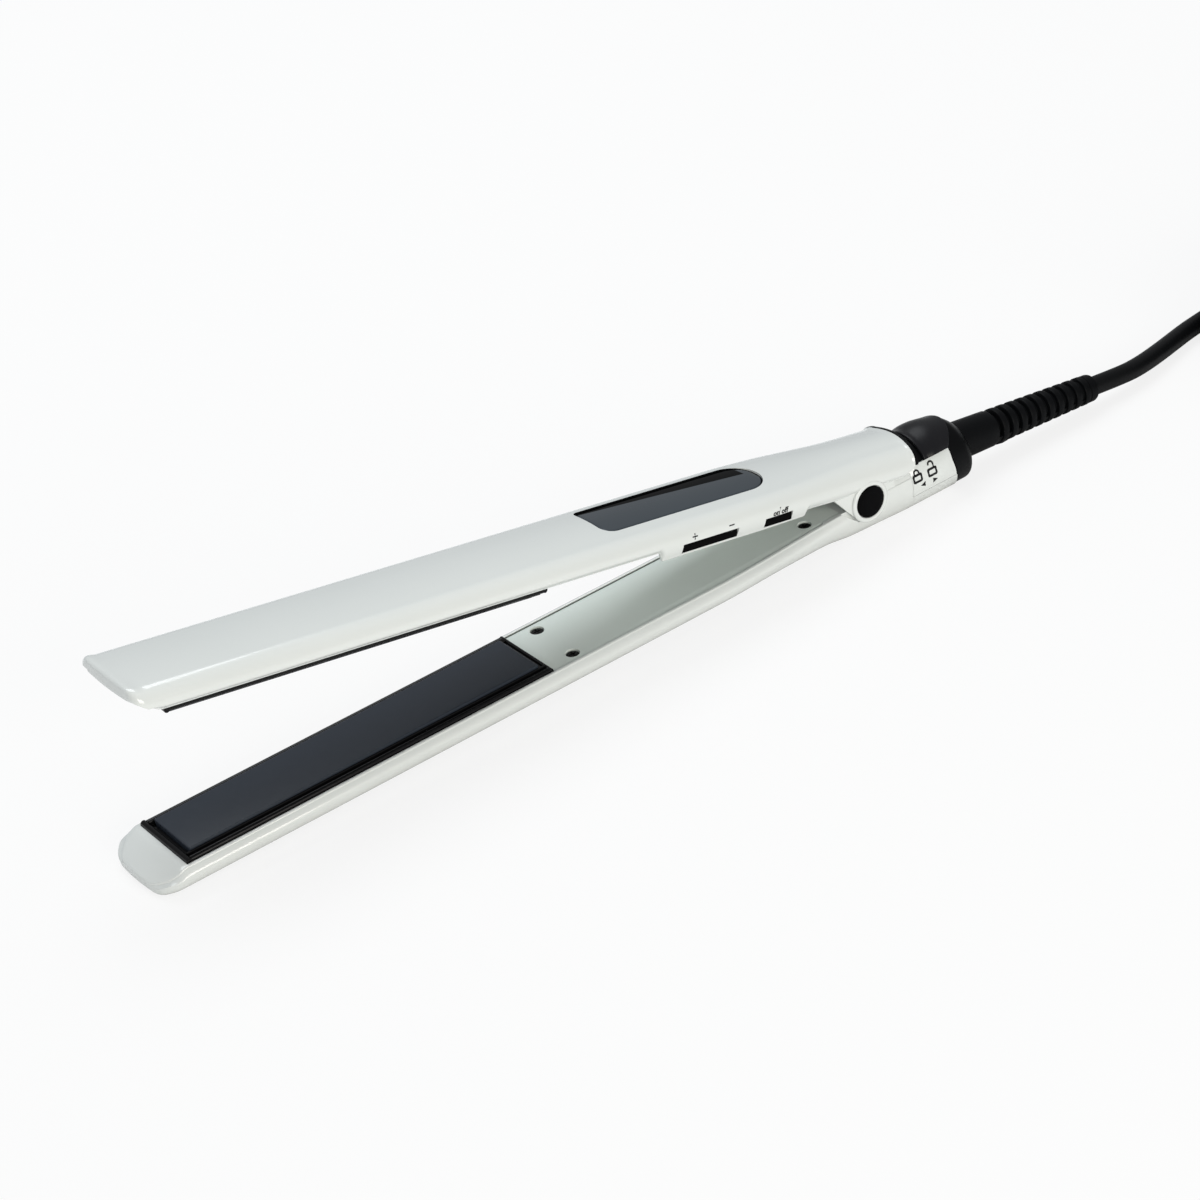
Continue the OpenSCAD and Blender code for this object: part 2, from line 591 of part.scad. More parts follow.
// Torsion spring round the pin: turns of wire between two straight legs
spring_wire = 1.1;
spring_r = pin_d / 2 + spring_wire / 2 + 0.35;
spring_turns = 4;
spring_step = 1.6;
spring_steps = 8;
spring_half = spring_turns * spring_step / 2;
spring_path = concat([[-9, -spring_half, spring_r], [-4, -spring_half, spring_r]],
    [for (i = [0 : spring_turns * spring_steps + spring_steps / 2]) let (a = 90 + 360 * i / spring_steps)
        [spring_r * cos(a), -spring_half + spring_step * i / spring_steps, spring_r * sin(a)]]);
module hinge_spring() color(STEEL) lie() translate([0, 0, -hinge_drop])
    tube([for (p = spring_path) [p[0], p[1], p[2]]], spring_wire / 2, 6, [1, 0, 0], [1, 0, 0]);
track_r = barrel_r - 0.25;
bridge_r = barrel_in + 0.7;
foot_front = 26.5;
foot_rear = barrel_end - 3.5;
foot_half = 1.8;
// Slot that the slider's foot runs in
module foot_slot() block([foot_front - lock_travel - 0.3, foot_rear + 0.3],
    [-foot_half - slide_gap, foot_half + slide_gap], [0, 20]);
module rear_saddle() color(WHITE) lie() difference() {
    ring_sector(barrel_r, barrel_in, saddle_front, barrel_end);
    block([0, 60], [-20, 20], [-40, -parting + 0.1]);
    // Bed of the black insert
    difference() {
        block([0, 60], [-saddle_half, saddle_half], [-barrel_drop, 20]);
        along_x(bridge_r, 0, 60, 0, -barrel_drop);
    }
    foot_slot();
}
module slide_track() color(BLACK) lie() difference() {
    ring_sector(track_r, bridge_r + 0.05, saddle_front, barrel_end - 0.1);
    block([0, 60], [-20, 20], [-40, -barrel_drop + 2]);
    for (side = [0, 1]) mirror([0, side, 0]) block([0, 60], [saddle_half - 0.12, 20], [-10, 20]);
    foot_slot();
}
// Thumb slide shaped like a saddle, held by a foot through the slot
slider_front = 25.4;
slider_rear = collar_x - 5.2;
slider_half = 9.6;
slider_angle = asin(slider_half / (barrel_r + 0.1));
// In plan the slide's rear edge is an arc, furthest back at the top
edge_drop = 5.3;
edge_r = (slider_half * slider_half + edge_drop * edge_drop) / (2 * edge_drop);
module lock_slider() color(BLACK) lie() {
    intersection() {
        translate([0, 0, -barrel_drop]) rotate([0, 90, 0]) rotate([0, 0, 180 - slider_angle])
            rotate_extrude(angle = 2 * slider_angle, $fn = 72) polygon([
                [barrel_r + 0.1, slider_front], [barrel_r + 0.85, slider_front], [barrel_r + 0.7, slider_front + 1.2],
                [barrel_r + 0.8, slider_front + 2.6], [barrel_r + 1.25, slider_front + 5], [barrel_r + 1.45, slider_front + 7.4],
                [barrel_r + 1.25, slider_front + 10], [barrel_r + 0.8, slider_front + 12.6],
                [barrel_r + 0.45, slider_rear], [barrel_r + 0.1, slider_rear]]);
        translate([slider_rear - edge_r, 0, -20]) cylinder(r = edge_r, h = 40);
    }
    block([foot_front, foot_rear], [-foot_half, foot_half], [barrel_in - barrel_drop - 1.6, barrel_r - barrel_drop + 0.4]);
    block([foot_front, foot_rear], [-foot_half - 1.6, foot_half + 1.6], [foot_under, barrel_in - barrel_drop - 0.9]);
}
foot_under = barrel_in - barrel_drop - 2;
// Leaf that clicks under the slider's foot, hooked to the underside of the barrel
leaf_front = foot_front - lock_travel - 1.6;
module lock_detent() color(STEEL) lie() {
    block([leaf_front, foot_rear], [-1.4, 1.4], [foot_under - 0.6, foot_under - 0.25]);
    block([leaf_front, leaf_front + 0.4], [-1.4, 1.4], [foot_under - 0.6, barrel_in - barrel_drop - 0.2]);
}

module collar_floor() rotate([0, lie_tilt, 0])
    translate([-400, -50, -hinge_height * cos(lie_tilt) - 40]) cube([800, 100, 40]);
spigot_r = barrel_in - 0.15;
spigot_in = spigot_r - 1.15;
bore_r = 6.9;
lip_x = collar_x - 5;
module end_collar() color(BLACK) lie() difference() {
    translate([0, 0, -barrel_drop]) rotate([0, 90, 0]) rotate_extrude($fn = 72) difference() {
        union() {
            translate([bore_r, barrel_end - 3]) square([spigot_r - bore_r, 6]);
            polygon([[bore_r, barrel_end + 0.05], [collar_r, barrel_end + 0.05], [collar_r, collar_x - 3.4],
                [collar_r - 0.8, collar_x - 1.8], [collar_r - 2.2, collar_x - 0.6], [collar_r - 3.6, collar_x], [bore_r, collar_x]]);
        }
        translate([0, barrel_end - 10]) square([spigot_in, lip_x - barrel_end + 10]);
        translate([0, barrel_end - 10]) square([bore_r, 30]);
    }
    collar_floor();
}

// ---- Swivel and bend guard --------------------------------------------------
// The spool turns in the collar about the guard's own axis
guard_pivot = [collar_x - 5.5, 0, -barrel_drop + 0.84];
module guard_axis() lie() translate(guard_pivot) rotate([0, 90 + guard_droop, 0]) children();
guard_start = 4.5;
spool_r = bore_r + 0.1;
spool_front = -12;
ring_places = [spool_front + 1, spool_front + 3.6];
ring_t = 1.4;
slip_r = 3.9;
module swivel_spool() color(BLACK) guard_axis() difference() {
    union() {
        translate([0, 0, spool_front]) cylinder(r = slip_r - 0.7, h = -spool_front - 1, $fn = small_fn);
        translate([0, 0, -1.7]) cylinder(r = spool_r, h = 1.3);
        translate([0, 0, -1]) cylinder(r = 5.2, h = guard_start + 1 - 0.02, $fn = small_fn);
    }
    translate([0, 0, spool_front - 1]) cylinder(r = 1.2, h = 20, $fn = small_fn);
}
module slip_rings() color(BRASS) guard_axis() for (z = ring_places) translate([0, 0, z]) difference() {
    cylinder(r = slip_r, h = ring_t, $fn = small_fn);
    translate([0, 0, -1]) cylinder(r = slip_r - 0.55, h = 4, $fn = small_fn);
}
// A tray on the barrel's floor carries one brush under each ring
tray_top = -barrel_drop - 6;
function brush_x(z) = guard_pivot[0] + (z + ring_t / 2) * cos(guard_droop);
function brush_z(z) = guard_pivot[2] - (z + ring_t / 2) * sin(guard_droop) - slip_r / cos(guard_droop) - slide_gap - 0.08;
module contact_carrier() color([0.75, 0.72, 0.6]) lie() intersection() {
    block([20, barrel_end - 3.3], [-6, 6], [-40, tray_top]);
    along_x(barrel_in - 0.2, 0, 60, 0, -barrel_drop);
}
module contact_brushes() color(BRASS) lie() for (z = ring_places) {
    x = brush_x(z);
    block([x - 0.5, x + 0.5], [-2, 2], [tray_top + 0.02, tray_top + 0.4]);
    block([x - 0.5, x + 0.5], [-0.6, 0.6], [tray_top + 0.3, brush_z(z)]);
}

// Cone with ribs and slots: straight neck, then rings joined by four spines
rib_count = 10;
neck_len = 15.3;
end_ring = 3.2;
rib_pitch = (guard_len - neck_len - end_ring - 0.5) / rib_count;
guard_end = guard_start + guard_len;
core_r = cord_d / 2 + 0.9;
function guard_r(z) = guard_root_d / 2 + (guard_tip_d - guard_root_d) / 2 * (z - guard_start) / guard_len;
module cord_guard() color(BLACK) guard_axis() difference() {
    union() {
        translate([0, 0, guard_start]) cylinder(r1 = guard_r(guard_start), r2 = guard_r(guard_start + neck_len), h = neck_len);
        translate([0, 0, guard_start + neck_len - eps]) cylinder(r = core_r, h = guard_len - neck_len, $fn = small_fn);
        for (i = [0 : rib_count - 1]) let (z = guard_start + neck_len + 2 + i * rib_pitch)
            translate([0, 0, z]) cylinder(r = guard_r(z), h = rib_pitch - 1.9, $fn = small_fn);
        translate([0, 0, guard_end - end_ring]) cylinder(r = guard_tip_d / 2, h = end_ring, $fn = small_fn);
    }
    translate([0, 0, guard_start - 1]) cylinder(r = 2.2, h = guard_len - 8, $fn = small_fn);
    translate([0, 0, guard_end - 4]) cylinder(r = cord_d / 2 + 0.2, h = 10, $fn = small_fn);
}

// ---- Mains lead -------------------------------------------------------------
// Tube mesh from ready rings of points, closed at both ends
module tube_mesh(points, rings, sides) polyhedron(points, concat(
    [[for (j = [0 : sides - 1]) j]],
    [for (i = [0 : rings - 2]) for (j = [0 : sides - 1]) let (k = (j + 1) % sides)
        each [[i * sides + j, (i + 1) * sides + j, (i + 1) * sides + k],
              [i * sides + j, (i + 1) * sides + k, i * sides + k]]],
    [[for (j = [sides - 1 : -1 : 0]) (rings - 1) * sides + j]]), convexity = 10);

function unit(v) = v / norm(v);
function tangent(path, i) = unit(path[min(i + 1, len(path) - 1)] - path[max(i - 1, 0)]);
// A ring stands square to the path, with its first point towards +Z
function cord_ring(centre, dir, r, sides) = let (side = unit(cross([0, 0, 1], dir)), up = cross(dir, side))
    [for (j = [0 : sides - 1]) let (a = 360 * j / sides) centre + r * (cos(a) * up + sin(a) * side)];
module tube(path, r, sides, first_dir, last_dir) {
    n = len(path);
    tube_mesh([for (i = [0 : n - 1])
        for (p = cord_ring(path[i], i == 0 ? first_dir : i == n - 1 ? last_dir : tangent(path, i), r, sides)) p],
        n, sides);
}

// Where the cord leaves the guard, in the frame of the surface
function lie_point(p) = let (z = p[2] + hinge_height) [
    p[0] * cos(lie_tilt) - z * sin(lie_tilt), p[1], p[0] * sin(lie_tilt) + z * cos(lie_tilt)];
droop = guard_droop - lie_tilt;
guard_tip = lie_point(guard_pivot + (guard_end - 4) * [cos(guard_droop), 0, -sin(guard_droop)]);
exit_dir = [cos(droop), 0, -sin(droop)];

// The hank lies just outside the picture's edge: four layers of long loops, drawn in at the waist
hank_pitch = 7.4;
hank_lift = 7.2;
waist = 5;
layer_turns = 1;
layer_span = layer_turns + 0.5;
hank_total = 4 * layer_turns + 1.5;
hank_r = fold_r + hank_pitch * (layer_turns + 0.125);
hank_centre = [185 + hank_run / 2, 11 - hank_r];
cord_r = cord_d / 2;
floor_z = cord_r + 0.05;
strap_t = 0.5;
hank_low = floor_z + strap_t + 0.05;
loop_steps = 24;
run_steps = 5;
run_share = run_steps / loop_steps;
function ease(u) = u * u * (3 - 2 * u);
function layer_of(s) = min(3, floor(s / layer_span));
// Loop s of the hank: inwards on one layer and outwards on the next, half a loop up between them
function hank_offset(s) = let (v = s - layer_of(s) * layer_span, u = max(0, v - layer_turns), w = min(v, layer_turns))
    layer_of(s) == 3 ? layer_turns - w : layer_of(s) % 2 == 0 ? w + u - 2 * u * u : layer_turns - w - u + 2 * u * u;
function hank_rise(s) = let (v = s - layer_of(s) * layer_span)
    layer_of(s) + (layer_of(s) < 3 ? ease(min(1, 2 * max(0, v - layer_turns))) : 0);
function on_loop(f, r) = let (h = hank_run / 2) f < run_share ? [hank_run * f / run_share - h, r]
    : f <= 0.5 ? let (a = 90 - 180 * (f - run_share) / (0.5 - run_share)) [h + r * cos(a), r * sin(a)]
    : f < 0.5 + run_share ? [h - hank_run * (f - 0.5) / run_share, -r]
    : let (a = -90 - 180 * (f - 0.5 - run_share) / (0.5 - run_share)) [-h + r * cos(a), r * sin(a)];
function drawn_in(p) = abs(p[0]) < hank_run / 2
    ? [p[0], p[1] - sign(p[1]) * waist * (1 + cos(360 * p[0] / hank_run)) / 2] : p;
function hank_point(s) = let (p = drawn_in(on_loop(s - floor(s), hank_r - hank_pitch * hank_offset(s))))
    [hank_centre[0] + p[0], hank_centre[1] + p[1], hank_low + hank_lift * hank_rise(s)];
hank_loops = [for (i = [0 : hank_total * loop_steps]) hank_point(i / loop_steps)];
hank_path = concat([hank_loops[0] - [7, 0, 0]], hank_loops, [hank_loops[len(hank_loops) - 1] - [7, 0, 0]]);
hank_first = hank_path[0];
hank_last = hank_path[len(hank_path) - 1];

// Free stretches: points chosen by hand between the fixed ends
lead_path = concat([guard_tip, guard_tip + 8 * exit_dir, guard_tip + 16 * exit_dir],
    [[124, 0.6, 5.4], [132, 2.2, 4.8], [141, 4.6, 4.2], [150, 7.2, 3.7], [158, 9.3, 3.4], [166, 10.6, 3.4], [172, 11, 3.75]],
    [hank_first - [0.02, 0, 0]]);
tail_end_y = -33.2;
plug_x = 200;
plug_axis = 35.1;
tail_path = [hank_last - [0.02, 0, 0], [240, -42.9, 26.4], [232, -41.2, 28.8], [224, -38.6, 31.7], [216, -35.9, 34.1],
    [208, -33.8, plug_axis], [plug_x, tail_end_y, plug_axis]];

// Least gap between the loops, and the lead's real length
function path_len(path) = len(path) < 2 ? 0 : let (d = [for (i = [1 : len(path) - 1]) norm(path[i] - path[i - 1])])
    d * [for (x = d) 1];
fine_path = [for (i = [0 : len(hank_path) - 2]) for (k = [0 : 3]) hank_path[i] + (hank_path[i + 1] - hank_path[i]) * k / 4];
loop_gap = min([for (i = [0 : len(fine_path) - 41]) for (j = [i + 40 : len(fine_path) - 1])
    norm(fine_path[i] - fine_path[j])]) - cord_d;
echo(least_gap_of_hank_mm = loop_gap);
echo(least_gap_of_tail_mm = min([for (p = tail_path) if (p[0] < 236) for (q = fine_path) norm(p - q)]) - cord_d);
echo(lead_mm = path_len(lead_path), hank_mm = path_len(hank_path), tail_mm = path_len(tail_path));

module cord_lead() color(BLACK) tube(lead_path, cord_r, 10, exit_dir, [1, 0, 0]);
module cord_hank() color(BLACK) tube(hank_path, cord_r, 6, [1, 0, 0], [-1, 0, 0]);
module cord_tail() color(BLACK) tube(tail_path, cord_r, 10, [-1, 0, 0], [-1, 0, 0]);
// Strap round the whole bundle near its waist
tie_x = 214;
tie_half = hank_r - waist * (1 + cos(360 * (tie_x - 4 - hank_centre[0]) / hank_run)) / 2 + cord_r + 0.8;
tie_top = hank_low + 3 * hank_lift + cord_r + 0.3;
module cord_tie() color([0.12, 0.12, 0.12]) translate([tie_x, hank_centre[1], 0]) difference() {
    block([-4, 4], [-tie_half - 0.8, tie_half + 0.8], [0.02, tie_top + 0.8]);
    block([-5, 5], [-tie_half, tie_half], [strap_t + 0.02, tie_top]);
}

// Flat two-pin mains plug
plug_len = 33;
pin_spread = 9.3;
plug_pin_r = 2;
module mains_plug() color(BLACK) translate([plug_x, tail_end_y, plug_axis]) difference() {
    union() {
        hull() {
            block([-plug_len + 7, -10], [-10, 10], [-6, 6]);
            block([-13, -6], [-5.5, 5.5], [-5, 5]);
        }
        block([-plug_len, -plug_len + 7.5], [-13, 13], [-6.45, 6.45]);
        along_x(4.4, -8, -0.02, 0, 0, $fn = small_fn);
    }
    for (y = [-pin_spread, pin_spread]) along_x(plug_pin_r + 0.02, -plug_len - 1, -plug_len + 5, y, 0, $fn = small_fn);
}
module plug_pins() color(BRASS) translate([plug_x - plug_len, tail_end_y, plug_axis]) for (y = [-pin_spread, pin_spread])
    along_x(plug_pin_r, -19, 4.9, y, 0, $fn = small_fn);

lower_shell();
lower_inner_cover();
lower_plate_frame();
lower_cover_screws();
lower_plate_pads();
lower_plate();
lower_heater();
lower_heater_clip();
lower_thermistor();
upper_shell();
upper_inner_cover();
upper_plate_frame();
upper_cover_screws();
upper_plate_pads();
upper_plate();
upper_heater();
upper_heater_clip();
upper_thermistor();
display_window();
display_module();
circuit_board();
board_switches();
temp_rocker();
rocker_pin();
power_button();
hinge_pin();
pivot_caps();
tail_trim();
hinge_block();
hinge_spring();
rear_saddle();
slide_track();
lock_slider();
lock_detent();
end_collar();
contact_carrier();
contact_brushes();
swivel_spool();
slip_rings();
cord_guard();
cord_lead();
cord_hank();
cord_tail();
cord_tie();
mains_plug();
plug_pins();
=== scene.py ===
# Hair straightener with two sprung arms, floating hot plates, side keys, a lock slide
# on its rear barrel and a mains lead on a swivel. It rests open on the tip and belly
# of its lower arm. Lengths in the sections are in millimetres.
import math

import bmesh
import bpy
from mathutils import Matrix, Vector


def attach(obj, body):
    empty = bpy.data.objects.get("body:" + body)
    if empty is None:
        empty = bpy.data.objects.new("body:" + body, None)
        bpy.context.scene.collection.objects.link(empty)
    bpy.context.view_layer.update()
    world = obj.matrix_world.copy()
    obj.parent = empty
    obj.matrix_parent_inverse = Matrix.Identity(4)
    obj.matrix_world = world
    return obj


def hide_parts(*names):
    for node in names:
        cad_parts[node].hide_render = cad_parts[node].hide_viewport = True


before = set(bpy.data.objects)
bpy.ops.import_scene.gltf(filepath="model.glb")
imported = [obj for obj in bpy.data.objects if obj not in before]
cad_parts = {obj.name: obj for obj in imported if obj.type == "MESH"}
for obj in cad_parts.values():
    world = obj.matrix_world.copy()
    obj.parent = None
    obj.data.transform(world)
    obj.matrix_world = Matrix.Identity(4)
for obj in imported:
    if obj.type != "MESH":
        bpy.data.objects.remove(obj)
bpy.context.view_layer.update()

# ---- Camera ------------------------------------------------------------------
# A long lens from the near left, a little above the arms, so that both arms run
# away from the tips towards the lead.
camera = bpy.data.objects.new("camera", bpy.data.cameras.new("camera"))
bpy.context.scene.collection.objects.link(camera)
camera.data.sensor_width = 36
camera.data.lens = 98.787
camera.data.clip_start, camera.data.clip_end = 0.05, 20
camera_right = Vector((0.79849, -0.58970, -0.12111)).normalized()
camera_back = Vector((-0.45682, -0.72456, 0.51607)).normalized()
camera_up = camera_back.cross(camera_right).normalized()
camera.matrix_world = Matrix.Translation((-0.54327, -0.71136, 0.52377)) @ Matrix(
    (camera_right, camera_up, camera_back)).transposed().to_4x4()
bpy.context.scene.camera = camera
bpy.context.scene.view_settings.view_transform = "Standard"

# ---- Mains cord --------------------------------------------------------------
# A round two-core lead with a black PVC sheath, 6.4 mm thick and 1.7 m long. It leaves the
# bend guard, sinks to the surface, and its spare length is folded into a hank of long loops.
tip_rise, tip_to_belly, arm_lift = 7.3, 298, 16.2466
lie_tilt = math.atan2(tip_rise, tip_to_belly)
lower_place = Matrix.Rotation(-lie_tilt, 4, "Y") @ Matrix.Translation((0, 0, arm_lift * 0.001))
guard_droop = math.radians(5.82)
guard_pivot = Vector((40.5, 0, -5.26))
guard_line = Vector((math.cos(guard_droop), 0, -math.sin(guard_droop)))
guard_place = lower_place @ Matrix.Translation(guard_pivot * 0.001) @ Matrix.Rotation(guard_droop, 4, "Y")
guard_end = 60.5
cord_r = 3.2
hank_run, hank_r, hank_pitch, hank_lift, hank_waist = 70, 27.125, 7.4, 7.2, 5
hank_middle = (220, 11 - hank_r)
hank_low, points_per_loop, hank_loops = 3.8, 24, 5.5


def hank_point(s):
    """The middle of the cord after s loops: four layers of 1.5, wound in, out, in and out."""
    layer = min(3, int(s // 1.5))
    v = s - 1.5 * layer
    climb = 0 if layer == 3 else max(0, v - 1)
    inward = min(v, 1) + climb - 2 * climb * climb
    r = hank_r - hank_pitch * (inward if layer % 2 == 0 else 1 - inward)
    rise = min(1, 2 * climb)
    f, half, share = s % 1, hank_run / 2, 5 / 24
    if f < share:
        x, y = hank_run * f / share - half, r
    elif f <= 0.5:
        a = math.radians(90 - 180 * (f - share) / (0.5 - share))
        x, y = half + r * math.cos(a), r * math.sin(a)
    elif f < 0.5 + share:
        x, y = half - hank_run * (f - 0.5) / share, -r
    else:
        a = math.radians(-90 - 180 * (f - 0.5 - share) / (0.5 - share))
        x, y = -half + r * math.cos(a), r * math.sin(a)
    if abs(x) < half:
        y -= math.copysign(hank_waist * (1 + math.cos(math.pi * x / half)) / 2, y)
    height = hank_low + hank_lift * (layer + rise * rise * (3 - 2 * rise))
    return Vector((hank_middle[0] + x, hank_middle[1] + y, height))


def through(points, steps):
    """A smooth line through given points."""
    out = []
    for i in range(len(points) - 1):
        a, b = points[i], points[i + 1]
        before = a - (b - a) if i == 0 else points[i - 1]
        after = b + (b - a) if i == len(points) - 2 else points[i + 2]
        for k in range(steps):
            t = k / steps
            out.append(0.5 * (2 * a + (b - before) * t + (2 * before - 5 * a + 4 * b - after) * t * t
                              + (3 * a - before - 3 * b + after) * t ** 3))
    return out + [points[-1]]


guard_mouth = lower_place @ ((guard_pivot + guard_end * guard_line) * 0.001) * 1000
lead_line = Vector((math.cos(guard_droop - lie_tilt), 0, -math.sin(guard_droop - lie_tilt)))
hank_line = [hank_point(i / points_per_loop) for i in range(int(hank_loops * points_per_loop) + 1)]
hank_start, hank_end = hank_line[0] - Vector((7, 0, 0)), hank_line[-1] - Vector((7, 0, 0))
lead_points = [guard_mouth + run * lead_line for run in (0, 8, 16)] + [Vector(p) for p in (
    (124, 0.6, 5.4), (132, 2.2, 4.8), (141, 4.6, 4.2), (150, 7.2, 3.7), (158, 9.3, 3.4),
    (166, 10.6, 3.4), (172, 11, 3.75))]
plug_at = Vector((200, -33.2, 35.1))
tail_points = [Vector(p) for p in (
    (240, -42.9, 26.4), (232, -41.2, 28.8), (224, -38.6, 31.7), (216, -35.9, 34.1), (208, -33.8, 35.1))]
cord_line = through(lead_points + [hank_start] + hank_line + [hank_end] + tail_points + [plug_at], 4)

cord_curve = bpy.data.curves.new("mains_cord", "CURVE")
cord_curve.dimensions = "3D"
cord_curve.bevel_depth = cord_r * 0.001
cord_curve.bevel_resolution = 6
cord_curve.use_fill_caps = True
cord_spline = cord_curve.splines.new("POLY")
cord_spline.points.add(len(cord_line) - 1)
for spot, p in zip(cord_spline.points, cord_line):
    spot.co = (p.x * 0.001, p.y * 0.001, p.z * 0.001, 1)
mains_cord = bpy.data.objects.new("mains_cord", cord_curve)
bpy.context.scene.collection.objects.link(mains_cord)


def finish(name, colour, second, rough, rough_spread, grain, depth, coat=0.0, metal=0.0, patch=40.0,
           stretch=(1, 1, 1), specular=0.5, coat_rough=0.04, detail=3.0):
    """A surface in two close colours, mixed in soft patches, with a fine grain that
    varies its gloss and its height. Grain and patch are counted per metre."""
    material = bpy.data.materials.new(name)
    material.use_nodes = True
    nodes, links = material.node_tree.nodes, material.node_tree.links
    shader = nodes["Principled BSDF"]
    shader.inputs["Metallic"].default_value = metal
    shader.inputs["Specular IOR Level"].default_value = specular
    shader.inputs["Coat Weight"].default_value = coat
    shader.inputs["Coat Roughness"].default_value = coat_rough
    where = nodes.new("ShaderNodeTexCoord")
    drawn = nodes.new("ShaderNodeMapping")
    drawn.inputs["Scale"].default_value = stretch
    links.new(where.outputs["Object"], drawn.inputs["Vector"])
    patches = nodes.new("ShaderNodeTexNoise")
    patches.inputs["Scale"].default_value = patch
    patches.inputs["Detail"].default_value = detail
    fine = nodes.new("ShaderNodeTexNoise")
    fine.inputs["Scale"].default_value = grain
    fine.inputs["Detail"].default_value = 2
    for noise in (patches, fine):
        links.new(drawn.outputs["Vector"], noise.inputs["Vector"])
    blend = nodes.new("ShaderNodeMix")
    blend.data_type = "RGBA"
    blend.inputs["A"].default_value = (*colour, 1)
    blend.inputs["B"].default_value = (*second, 1)
    links.new(patches.outputs["Fac"], blend.inputs["Factor"])
    links.new(blend.outputs["Result"], shader.inputs["Base Color"])
    gloss = nodes.new("ShaderNodeMapRange")
    gloss.inputs["To Min"].default_value = max(0.02, rough - rough_spread)
    gloss.inputs["To Max"].default_value = rough + rough_spread
    links.new(fine.outputs["Fac"], gloss.inputs["Value"])
    links.new(gloss.outputs["Result"], shader.inputs["Roughness"])
    bump = nodes.new("ShaderNodeBump")
    bump.inputs["Strength"].default_value = 0.6
    bump.inputs["Distance"].default_value = depth
    links.new(fine.outputs["Fac"], bump.inputs["Height"])
    links.new(bump.outputs["Normal"], shader.inputs["Normal"])
    return material


cord_pvc = finish("cord_pvc", (0.0025, 0.0028, 0.0033), (0.004, 0.0044, 0.005), 0.42, 0.08, 2600, 0.00003,
                  specular=0.12)
cord_curve.materials.append(cord_pvc)
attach(mains_cord, "lower_arm")
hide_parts("cord_lead", "cord_hank", "cord_tail")

# ---- Mains plug --------------------------------------------------------------
# A flat two-pin plug in black PVC, moulded onto the end of the cord, with a grip flange
# round its face and a ribbed neck. Its two round pins are nickel-plated brass.


def piece(name, points, faces, place, material, tidy=True):
    """A mesh from points in millimetres, set in its place in the row frame."""
    mesh = bpy.data.meshes.new(name)
    mesh.from_pydata([Vector(p) * 0.001 for p in points], [], faces)
    if tidy:
        work = bmesh.new()
        work.from_mesh(mesh)
        bmesh.ops.recalc_face_normals(work, faces=work.faces)
        work.to_mesh(mesh)
        work.free()
    made = bpy.data.objects.new(name, mesh)
    bpy.context.scene.collection.objects.link(made)
    made.matrix_world = place
    if material:
        mesh.materials.append(material)
    return made


def smooth(made, angle=32):
    """Soft shading, with a crisp line where two faces meet at more than the angle."""
    for face in made.data.polygons:
        face.use_smooth = True
    made.data.set_sharp_from_angle(angle=math.radians(angle))
    return made


def oval(x, half_w, half_h, square, sides=36):
    """A ring in the YZ plane, from an ellipse (2) to nearly a rectangle (8)."""
    ring = []
    for i in range(sides):
        c, s = math.cos(2 * math.pi * i / sides), math.sin(2 * math.pi * i / sides)
        ring.append((x, half_w * math.copysign(abs(c) ** (2 / square), c),
                     half_h * math.copysign(abs(s) ** (2 / square), s)))
    return ring


def loft(rings, ends=True):
    """Points and faces of a skin over closed rings that have the same number of points."""
    n = len(rings[0])
    points = [p for ring in rings for p in ring]
    faces = [(i * n + j, i * n + (j + 1) % n, (i + 1) * n + (j + 1) % n, (i + 1) * n + j)
             for i in range(len(rings) - 1) for j in range(n)]
    if ends:
        faces += [tuple(range(n - 1, -1, -1)), tuple(range((len(rings) - 1) * n, len(rings) * n))]
    return points, faces


plug_rings = [oval(x, w, h, sq) for x, w, h, sq in (
    (-33, 11.8, 5.3, 5), (-32.7, 12.5, 6.0, 5), (-32.2, 13, 6.4, 5), (-26.6, 13, 6.4, 5), (-26, 12.8, 6.2, 5),
    (-25.6, 12.2, 5.9, 5), (-25.4, 10.6, 5.7, 5), (-25, 10.0, 5.7, 5), (-22, 9.8, 5.8, 5),
    (-18, 9.2, 5.8, 4.5), (-14, 8.1, 5.6, 4), (-10.5, 6.9, 5.2, 3.2), (-8, 5.9, 4.9, 2.6), (-6.6, 5.4, 4.7, 2.3))]
for k in range(4):
    at = -6.2 + 1.5 * k
    plug_rings += [oval(x, r, r, 2) for x, r in (
        (at, 3.7), (at + 0.15, 4.3 - 0.08 * k), (at + 0.85, 4.3 - 0.08 * k), (at + 1.0, 3.7))]
plug_rings += [oval(-0.1, 3.5, 3.5, 2), oval(0, 3.3, 3.3, 2)]
plug_place = Matrix.Translation(plug_at * 0.001)
plug_body = smooth(piece("plug_body", *loft(plug_rings), plug_place,
                         finish("plug_pvc", (0.016, 0.016, 0.018), (0.022, 0.023, 0.026), 0.38, 0.08, 3200,
                                0.00003)))
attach(plug_body, "lower_arm")
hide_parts("mains_plug")
nickel = finish("nickel", (0.62, 0.60, 0.55), (0.70, 0.68, 0.64), 0.22, 0.08, 2200, 0.000004, metal=1.0)
bpy.data.objects["plug_pins"].data.materials.clear()
bpy.data.objects["plug_pins"].data.materials.append(nickel)

# ---- Cord tie ----------------------------------------------------------------
# A woven hook-and-loop strap, 8 mm wide, round the hank near its waist.
tie_x, tie_half, tie_low, tie_high, tie_corner = 214, 27.7, 0.02, 29.7, 2.6


def round_corners(x0, x1, y0, y1, r, steps):
    """Four quarter turns of radius r about the corners of a rectangle."""
    return [(x + r * math.cos(a), y + r * math.sin(a))
            for x, y, start in ((x1, y1, 0), (x0, y1, 90), (x0, y0, 180), (x1, y0, 270))
            for a in [math.radians(start + 90 / steps * i) for i in range(steps + 1)]]


